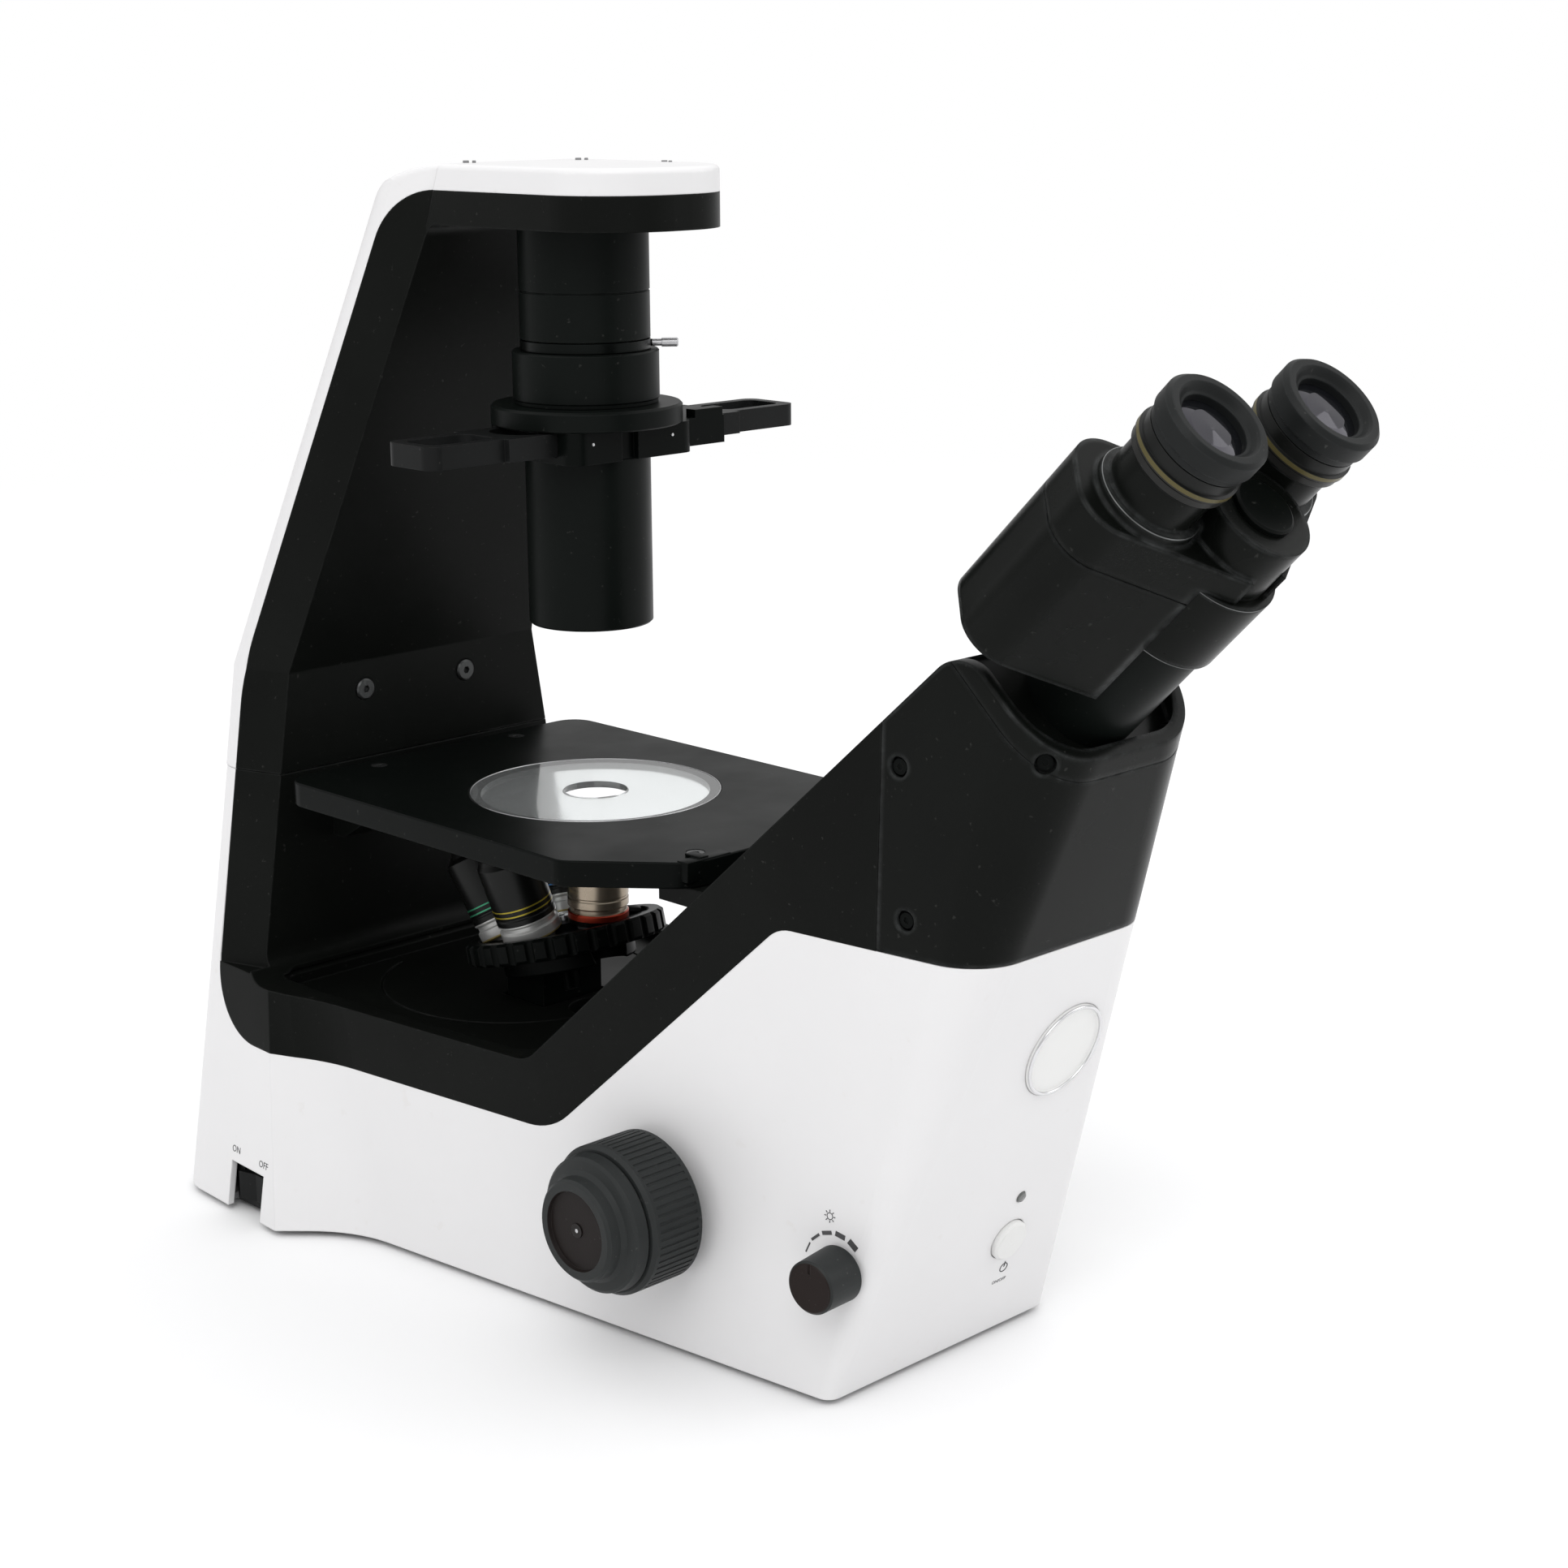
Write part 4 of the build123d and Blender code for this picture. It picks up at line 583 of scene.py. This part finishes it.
nodeFinish = {
    "base_shell": "whitePaint", "pillar_cover": "whitePaint", "bottom_plate": "greyPlate",
    "rubber_feet": "rubber", "main_frame": "blackPaint", "tower_cover": "mouldedPaint",
    "pillar_frame": "blackPaint", "stage_brackets": "blackPaint", "inner_brackets": "blackPaint",
    "tower_screws": "blackMetal", "cap_screws": "darkSteel", "stage_plate": "blackMetal",
    "stage_insert": "stageGlass", "lamp_tube": "turnedBlack", "condenser_collar": "turnedBlack",
    "condenser_flange": "turnedBlack", "condenser_tube": "turnedBlack", "slider_holder": "blackMetal",
    "phase_slider": "blackPlastic", "phase_rings": "clearGlass", "aperture_ring": "aperture",
    "iris_blades": "blackMetal", "lamp_led": "whiteLamp", "collector_lens": "clearGlass",
    "condenser_lens": "clearGlass", "objective_turret": "blackMetal", "turret_pivot": "steel",
    "port_plug": "blackPlastic", "nosepiece_carriage": "blackMetal", "guide_rods": "steel",
    "focus_rack": "brass", "coarse_sleeve": "steel", "fine_shaft": "shaft", "focus_bushes": "brass",
    "brightness_knob": "dimmer", "push_button": "buttonPaint", "control_housings": "blackPlastic",
    "led_window": "ledLens", "badge_disc": "badgeFace", "switch_bezel": "blackPlastic",
    "power_rocker": "blackPlastic", "power_inlet": "blackPlastic", "fold_mirror": "mirrorSilver",
    "tube_lens": "clearGlass", "bino_mount": "turnedBlack", "bino_pivot": "blackMetal",
    "objective_red": "objectiveRed", "objective_yellow": "objectiveYellow",
    "objective_green": "objectiveGreen", "objective_blue": "objectiveBlue",
    "coarse_knobs": "knobPlastic", "fine_knobs": "fineKnob",
    "prism_housing_left": "mouldedPaint", "prism_housing_right": "mouldedPaint",
    "eyepiece_left": "eyepieceLeft", "eyepiece_right": "eyepieceRight",
    "eye_ring_left": "rubber", "eye_ring_right": "rubber",
    "eye_lens_left": "coatedLens", "eye_lens_right": "coatedLens",
}
for nodeName, finishName in nodeFinish.items():
    solid = nodes[nodeName]
    if not solid.material_slots:
        solid.data.materials.append(None)
    for slot in solid.material_slots:
        slot.material = finishes[finishName]
print("stage: solids finished")


# modelling helpers, each one a few steps as made by hand

modelling = {"bevelSteps": 2, "sharpAngle": 40.0, "ringAngle": 60.0, "ringSides": 10, "mergeWithin": 0.002}


def startAlone():
    if bpy.context.object and bpy.context.object.mode != "OBJECT":
        bpy.ops.object.mode_set(mode="OBJECT")
    bpy.ops.object.select_all(action="DESELECT")


def choose(piece):
    startAlone()
    piece.select_set(True)
    bpy.context.view_layer.objects.active = piece


def settle(piece, name, matrix, finishName):
    # puts the place into the mesh and leaves the object at the origin
    piece.name = name
    piece.data.name = name
    piece.matrix_world = Matrix.Identity(4)
    piece.data.transform(matrix)
    piece.data.update()
    piece.data.materials.clear()
    piece.data.materials.append(finishes[finishName])
    return piece


def smooth(piece, angle=modelling["sharpAngle"]):
    choose(piece)
    bpy.ops.object.shade_smooth_by_angle(angle=math.radians(angle))
    return piece


def bevelled(piece, width):
    modifier = piece.modifiers.new("Bevel", "BEVEL")
    modifier.width = width * mm
    modifier.segments = modelling["bevelSteps"]
    modifier.limit_method = "ANGLE"
    modifier.angle_limit = math.radians(modelling["sharpAngle"])
    choose(piece)
    bpy.ops.object.modifier_apply(modifier="Bevel")
    return piece


def openForEdit():
    # bakes in the new primitive's place and opens it with all of it selected
    bpy.ops.object.transform_apply(location=True, rotation=True, scale=True)
    bpy.ops.object.mode_set(mode="EDIT")
    bpy.ops.mesh.select_all(action="SELECT")


def closeEdit():
    bpy.ops.mesh.select_all(action="SELECT")
    bpy.ops.mesh.normals_make_consistent(inside=False)
    bpy.ops.object.mode_set(mode="OBJECT")


def raisedTo(piece, height, bevel):
    # pulls a flat outline up into a body and rounds its edges
    openForEdit()
    bpy.ops.mesh.extrude_region_move(TRANSFORM_OT_translate={"value": (0, 0, height * mm)})
    closeEdit()
    if bevel > 0:
        bevelled(piece, bevel)
    return piece


def roundBar(name, matrix, radius, low, high, finishName, bevel, vertices=24):
    startAlone()
    bpy.ops.mesh.primitive_circle_add(vertices=vertices, radius=radius * mm, fill_type="NGON",
                                      location=(0, 0, low * mm))
    piece = raisedTo(bpy.context.object, high - low, bevel)
    return smooth(settle(piece, name, matrix, finishName))


def roundRing(name, matrix, radius, thick, height, finishName, steps=96):
    # a round section, thick across, spun once round the axis
    startAlone()
    bpy.ops.mesh.primitive_circle_add(vertices=modelling["ringSides"], radius=thick / 2 * mm,
                                      location=(radius * mm, 0, height * mm), rotation=(math.pi / 2, 0, 0))
    piece = bpy.context.object
    openForEdit()
    bpy.ops.mesh.spin(steps=steps, angle=math.tau, center=(0, 0, 0), axis=(0, 0, 1))
    bpy.ops.mesh.select_all(action="SELECT")
    bpy.ops.mesh.remove_doubles(threshold=modelling["mergeWithin"] * mm)
    closeEdit()
    return smooth(settle(piece, name, matrix, finishName), modelling["ringAngle"])


def block(name, matrix, spanX, spanY, spanZ, finishName, bevel=0.0):
    # each span is (low, high) along one of the place's own axes
    startAlone()
    middles = [(low + high) / 2 * mm for low, high in (spanX, spanY)]
    bpy.ops.mesh.primitive_plane_add(size=mm, location=(*middles, spanZ[0] * mm))
    piece = bpy.context.object
    piece.scale = (spanX[1] - spanX[0], spanY[1] - spanY[0], 1)
    raisedTo(piece, spanZ[1] - spanZ[0], bevel)
    return smooth(settle(piece, name, matrix, finishName))


def joined(name, pieces):
    choose(pieces[0])
    for piece in pieces:
        piece.select_set(True)
    bpy.ops.object.join()
    pieces[0].name = name
    pieces[0].data.name = name
    return pieces[0]


def lettering(name, matrix, words, height, finishName):
    # plain words as thin raised print
    values = {"thick": 0.12, "curveSteps": 3}
    startAlone()
    bpy.ops.object.text_add()
    piece = bpy.context.object
    piece.data.body = words
    piece.data.size = height * mm
    piece.data.align_x = "CENTER"
    piece.data.align_y = "CENTER"
    piece.data.extrude = values["thick"] / 2 * mm
    piece.data.resolution_u = values["curveSteps"]
    bpy.ops.object.convert(target="MESH")
    return settle(bpy.context.object, name, matrix, finishName)


# stage: the bright rim of its insert and the catch at its front edge

def makeInsertRim():
    values = {"inset": 0.35, "thick": 0.5, "sunk": 0.05}
    low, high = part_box("stage_insert")
    radius = (high.x - low.x) / 2 / mm - values["inset"]
    place = Matrix.Translation((0, opticalAxis.y, high.z))
    rim = roundRing("insertRim", place, radius, values["thick"], -values["sunk"], "steel")
    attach(rim, "stand")


def makeStageCatch():
    # spans are across, back from the stage's front edge and up from its top
    values = {"across": (-53.0, -29.0), "back": (0.3, 6.5), "up": (-8.0, 0.4), "bevel": 0.4,
              "tongueAcross": (-45.5, -40.5), "tongueBack": (1.2, 10.0), "tongueUp": (0.0, 1.2),
              "tongueBevel": 0.3}
    place = Matrix.Translation((0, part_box("stage_plate")[0].y, stageTop))
    catch = block("stageCatch", place, values["across"], values["back"], values["up"], "blackMetal",
                  values["bevel"])
    tongue = block("stageCatchTongue", place, values["tongueAcross"], values["tongueBack"],
                   values["tongueUp"], "blackMetal", values["tongueBevel"])
    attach(joined("stageCatch", [catch, tongue]), "stand")


makeInsertRim()
makeStageCatch()
print("stage: stage trim made")


# plain signs by the controls, printed on the white shell

printed = {"lift": 0.02, "under": -0.1, "top": 0.14, "outside": 300.0}


def shellPlace(start, heading):
    # a place just off the white shell, seen from start
    spot, normal = spotOn("base_shell", start, heading)
    return placeAt(spot + normal * printed["lift"] * mm, normal)


def frontPlace(x, z):
    return shellPlace((x * mm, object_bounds()[0][1] - printed["outside"] * mm, z * mm), (0, 1, 0))


def sidePlace(y, z):
    # y and z are metres in the frame, since the marks follow a knob
    return shellPlace((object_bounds()[0][0] - printed["outside"] * mm, y, z), across)


def makePowerSign():
    values = {"x": 25.0, "z": 34.8, "radius": 2.1, "thick": 0.45, "barWide": 0.5, "barUp": (0.4, 3.1),
              "barTop": 0.15, "words": "ON/OFF", "height": 2.3, "wordsX": 24.6, "wordsZ": 28.4}
    place = frontPlace(values["x"], values["z"])
    ring = roundRing("powerSign", place, values["radius"], values["thick"], 0, "ink", steps=40)
    half = values["barWide"] / 2
    bar = block("powerSignBar", place, (-half, half), values["barUp"], (printed["under"], values["barTop"]),
                "ink")
    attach(joined("powerSign", [ring, bar]), "stand")
    wordsPlace = frontPlace(values["wordsX"], values["wordsZ"])
    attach(lettering("buttonWords", wordsPlace, values["words"], values["height"], "ink"), "stand")


def markBar(place, turn, spanX, spanY):
    lean = Matrix.Rotation(turn, 4, "Z")
    return block("mark", place @ lean, spanX, spanY, (printed["under"], printed["top"]), "ink")


def makeDimmerMarks():
    # a sun and five growing bars round the upper half of the brightness knob, turns in degrees
    values = {"ring": 13.6, "back": 4.5, "bars": 5, "firstTurn": 66.0, "lastTurn": -36.0, "long": 4.7,
              "thin": 0.6, "grow": 0.5, "sunUp": 21.0, "sunBack": 7.0, "sunRadius": 1.35,
              "sunThick": 0.35, "rays": 8, "rayLong": 0.9, "rayWide": 0.32, "rayGap": 0.4}
    knob = middleOf("brightness_knob")
    marks = []
    for index in range(values["bars"]):
        share = index / (values["bars"] - 1)
        turn = math.radians(values["firstTurn"] + share * (values["lastTurn"] - values["firstTurn"]))
        thick = values["thin"] + index * values["grow"]
        away = (values["ring"] + thick / 2) * mm
        place = sidePlace(knob.y + values["back"] * mm + away * math.sin(turn),
                          knob.z + away * math.cos(turn))
        half = values["long"] / 2
        marks.append(markBar(place, turn, (-half, half), (-thick / 2, thick / 2)))
    place = sidePlace(knob.y + values["sunBack"] * mm, knob.z + values["sunUp"] * mm)
    marks.append(roundRing("mark", place, values["sunRadius"], values["sunThick"], 0, "ink", steps=32))
    start = values["sunRadius"] + values["rayGap"]
    half = values["rayWide"] / 2
    for index in range(values["rays"]):
        turn = index * math.tau / values["rays"]
        marks.append(markBar(place, turn, (-half, half), (start, start + values["rayLong"])))
    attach(joined("dimmerMarks", marks), "stand")


def makeSwitchWords():
    # places are back from the optical axis and up from the bench
    values = {"height": 4.4, "ON": (123.1, 29.6), "OFF": (99.9, 28.8)}
    pieces = []
    for word in ("ON", "OFF"):
        back, up = values[word]
        place = sidePlace(opticalAxis.y + back * mm, up * mm)
        pieces.append(lettering("switch" + word, place, word, values["height"], "ink"))
    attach(joined("switchWords", pieces), "stand")


makePowerSign()
makeDimmerMarks()
makeSwitchWords()
print("stage: signs made")


# badge: a bright ring round the bare disc

def makeBadgeRing():
    values = {"thick": 1.5, "inset": 0.2, "proud": 0.6, "outside": 20.0}
    low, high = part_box("badge_disc")
    middle = middleOf("badge_disc")
    radius = (high.x - low.x) / 2 / mm - values["inset"] - values["thick"] / 2
    start = (middle.x, low.y - values["outside"] * mm, middle.z)
    spot, normal = spotOn("badge_disc", start, (0, 1, 0))
    ring = roundRing("badgeRing", placeAt(spot, normal), radius, values["thick"], values["proud"],
                     "chrome", steps=72)
    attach(ring, "stand")


makeBadgeRing()
print("stage: badge ring made")


# head and column: grey studs on the white cover, painted shade for its small notches, and screws on the
# slider's holder

def makeNotchShadeStuds():
    # pairs of grey studs, painted shade standing in for small dark notches in the cover, across and back
    # from the optical axis, a large one and a small one
    values = {"spots": ((-25.2, 44.5), (-23.0, 41.8), (26.7, 33.1), (28.9, 30.4), (34.4, -13.2),
                        (33.8, -17.5)),
              "radii": (1.3, 0.8), "proud": (1.0, 0.9, 0.6), "sunk": 0.5, "bevel": 0.2,
              "above": 1000.0}
    studs = []
    for index, (side, back) in enumerate(values["spots"]):
        start = (side * mm, opticalAxis.y + back * mm, values["above"] * mm)
        spot, normal = spotOn("pillar_cover", start, -upwards)
        pair, member = divmod(index, 2)
        studs.append(roundBar("notchShadeStud", Matrix.Translation(spot), values["radii"][member],
                              -values["sunk"], values["proud"][pair], "greyPlate", values["bevel"]))
    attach(joined("notchShadeStuds", studs), "stand")


def makeSliderScrews():
    values = {"radius": 0.7, "sunk": 0.5, "proud": 0.5, "side": 22.0, "bevel": 0.15, "outside": 20.0}
    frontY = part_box("slider_holder")[0].y
    height = middleOf("slider_holder").z
    screws = []
    for side in (-1, 1):
        start = (side * values["side"] * mm, frontY - values["outside"] * mm, height)
        spot, normal = spotOn("slider_holder", start, (0, 1, 0))
        screws.append(roundBar("sliderScrew", placeAt(spot, normal), values["radius"], -values["sunk"],
                               values["proud"], "steel", values["bevel"]))
    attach(joined("sliderScrews", screws), "stand")


makeNotchShadeStuds()
makeSliderScrews()
print("stage: head trim made")


# binocular: thin bright metal rings, painted highlights along the edges of its turned parts

def makeTubeRings():
    # a painted highlight ring on the edge of the collar at each eyetube's foot, measured down from the
    # dioptre's pivot spot
    values = {"radius": 19.9, "down": 38.6, "thick": 0.5}
    for side in ("left", "right"):
        place = placeAt(eyeSpots[side] - tubeAxis * values["down"] * mm, tubeAxis, across)
        ring = roundRing("tubeRing_" + side, place, values["radius"], values["thick"], 0, "wornEdge")
        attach(ring, side + "_arm")


def makeHubRings():
    # painted highlight rings on both edges of the lower hub, which is the right housing's
    values = {"radius": 24.1, "downs": (53.2, 86.0), "thick": 0.5}
    rings = []
    for down in values["downs"]:
        place = placeAt(hubSpot - tubeAxis * down * mm, tubeAxis, across)
        rings.append(roundRing("hubRing", place, values["radius"], values["thick"], 0, "wornEdge"))
    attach(joined("hubRings", rings), "right_arm")


makeTubeRings()
makeHubRings()
print("stage: binocular trim made")


# the room: floor, light and camera, in metres

def makeFloor():
    # pale near the object, and the backdrop's white further away
    values = {"size": 60.0, "colour": (0.86, 0.86, 0.865), "shade": 0.99, "cloudScale": 3.0,
              "rough": 0.6, "specular": 0.1, "fadeFrom": 0.75, "fadeTo": 2.6}
    startAlone()
    bpy.ops.mesh.primitive_plane_add(size=values["size"])
    floor = bpy.context.object
    floor.name = "floor"
    material, tree, shader, coords = startFinish("floorPaint")
    cloud = noiseOf(tree, coords, values["cloudScale"])
    colour = blendColour(tree, cloud, shade(values["colour"], values["shade"]), values["colour"])
    tree.links.new(colour, shader.inputs["Base Color"])
    shader.inputs["Roughness"].default_value = values["rough"]
    shader.inputs["Specular IOR Level"].default_value = values["specular"]
    rays = newNode(tree, "LightPath")
    seen = largerOf(tree, rays.outputs["Is Camera Ray"], rays.outputs["Is Transmission Ray"])
    far = spread(tree, lengthOf(tree, coords), values["fadeFrom"], values["fadeTo"], 0.0, 1.0)
    white = newNode(tree, "Emission")
    mixed = mixedShader(tree, times(tree, far, seen), shader.outputs[0], white.outputs[0])
    output = next(node for node in tree.nodes if node.type == "OUTPUT_MATERIAL")
    tree.links.new(mixed, output.inputs[0])
    floor.data.materials.append(material)


lamps = {
    "keyLight": {"spot": (-1.6, -1.2, 2.2), "size": 1.6, "power": 20.0},
    "fillLight": {"spot": (1.8, -1.4, 1.3), "size": 1.4, "power": 8.0},
}
lampTarget = (0, 0, 0.2)


def addArea(name, lamp):
    light = bpy.data.lights.new(name, "AREA")
    light.shape = "RECTANGLE"
    light.size = lamp["size"]
    light.size_y = lamp["size"]
    light.energy = lamp["power"]
    piece = bpy.data.objects.new(name, light)
    piece.location = lamp["spot"]
    heading = Vector(lampTarget) - Vector(lamp["spot"])
    piece.rotation_euler = heading.to_track_quat("-Z", "Y").to_euler()
    bpy.context.scene.collection.objects.link(piece)


def makeWorld():
    # seen is what camera and glass show, low and high light the object from the horizon and above
    values = {"white": (1, 1, 1, 1), "seen": 1.0, "low": 0.42, "high": 1.40, "highFrom": 0.8}
    world = bpy.data.worlds.new("studio")
    world.use_nodes = True
    tree = world.node_tree
    tree.nodes.clear()
    output = newNode(tree, "OutputWorld")
    seen = newNode(tree, "Background")
    soft = newNode(tree, "Background")
    for background in (seen, soft):
        background.inputs["Color"].default_value = values["white"]
    seen.inputs["Strength"].default_value = values["seen"]
    height = partOf(tree, newNode(tree, "TexCoord").outputs["Generated"], "Z")
    level = spread(tree, height, 0.0, values["highFrom"], values["low"], values["high"])
    tree.links.new(level, soft.inputs["Strength"])
    rays = newNode(tree, "LightPath")
    either = largerOf(tree, rays.outputs["Is Camera Ray"], rays.outputs["Is Transmission Ray"])
    tree.links.new(mixedShader(tree, either, soft.outputs[0], seen.outputs[0]), output.inputs[0])
    bpy.context.scene.world = world


def makeCamera():
    # turn, rise and roll in degrees, lens and film in mm
    values = {"place": (-0.77744, -0.80994, 0.50875), "turn": -44.53, "rise": 14.44, "roll": -0.33,
              "lens": 64.74, "film": 36.0}
    turn, rise, roll = (math.radians(values[name]) for name in ("turn", "rise", "roll"))
    right = Vector((math.cos(turn), math.sin(turn), 0))
    back = Vector((math.sin(turn) * math.cos(rise), -math.cos(turn) * math.cos(rise), math.sin(rise)))
    up = back.cross(right)
    rolled = right * math.cos(roll) + up * math.sin(roll)
    raised = up * math.cos(roll) - right * math.sin(roll)
    data = bpy.data.cameras.new("camera")
    data.lens = values["lens"]
    data.sensor_width = values["film"]
    camera = bpy.data.objects.new("camera", data)
    turned = Matrix((rolled, raised, back)).transposed().to_4x4()
    camera.matrix_world = Matrix.Translation(values["place"]) @ turned
    bpy.context.scene.collection.objects.link(camera)
    bpy.context.scene.camera = camera


makeFloor()
for lampName, lamp in lamps.items():
    addArea(lampName, lamp)
makeWorld()
makeCamera()
bpy.context.scene.view_settings.view_transform = "Standard"
print("stage: room made")
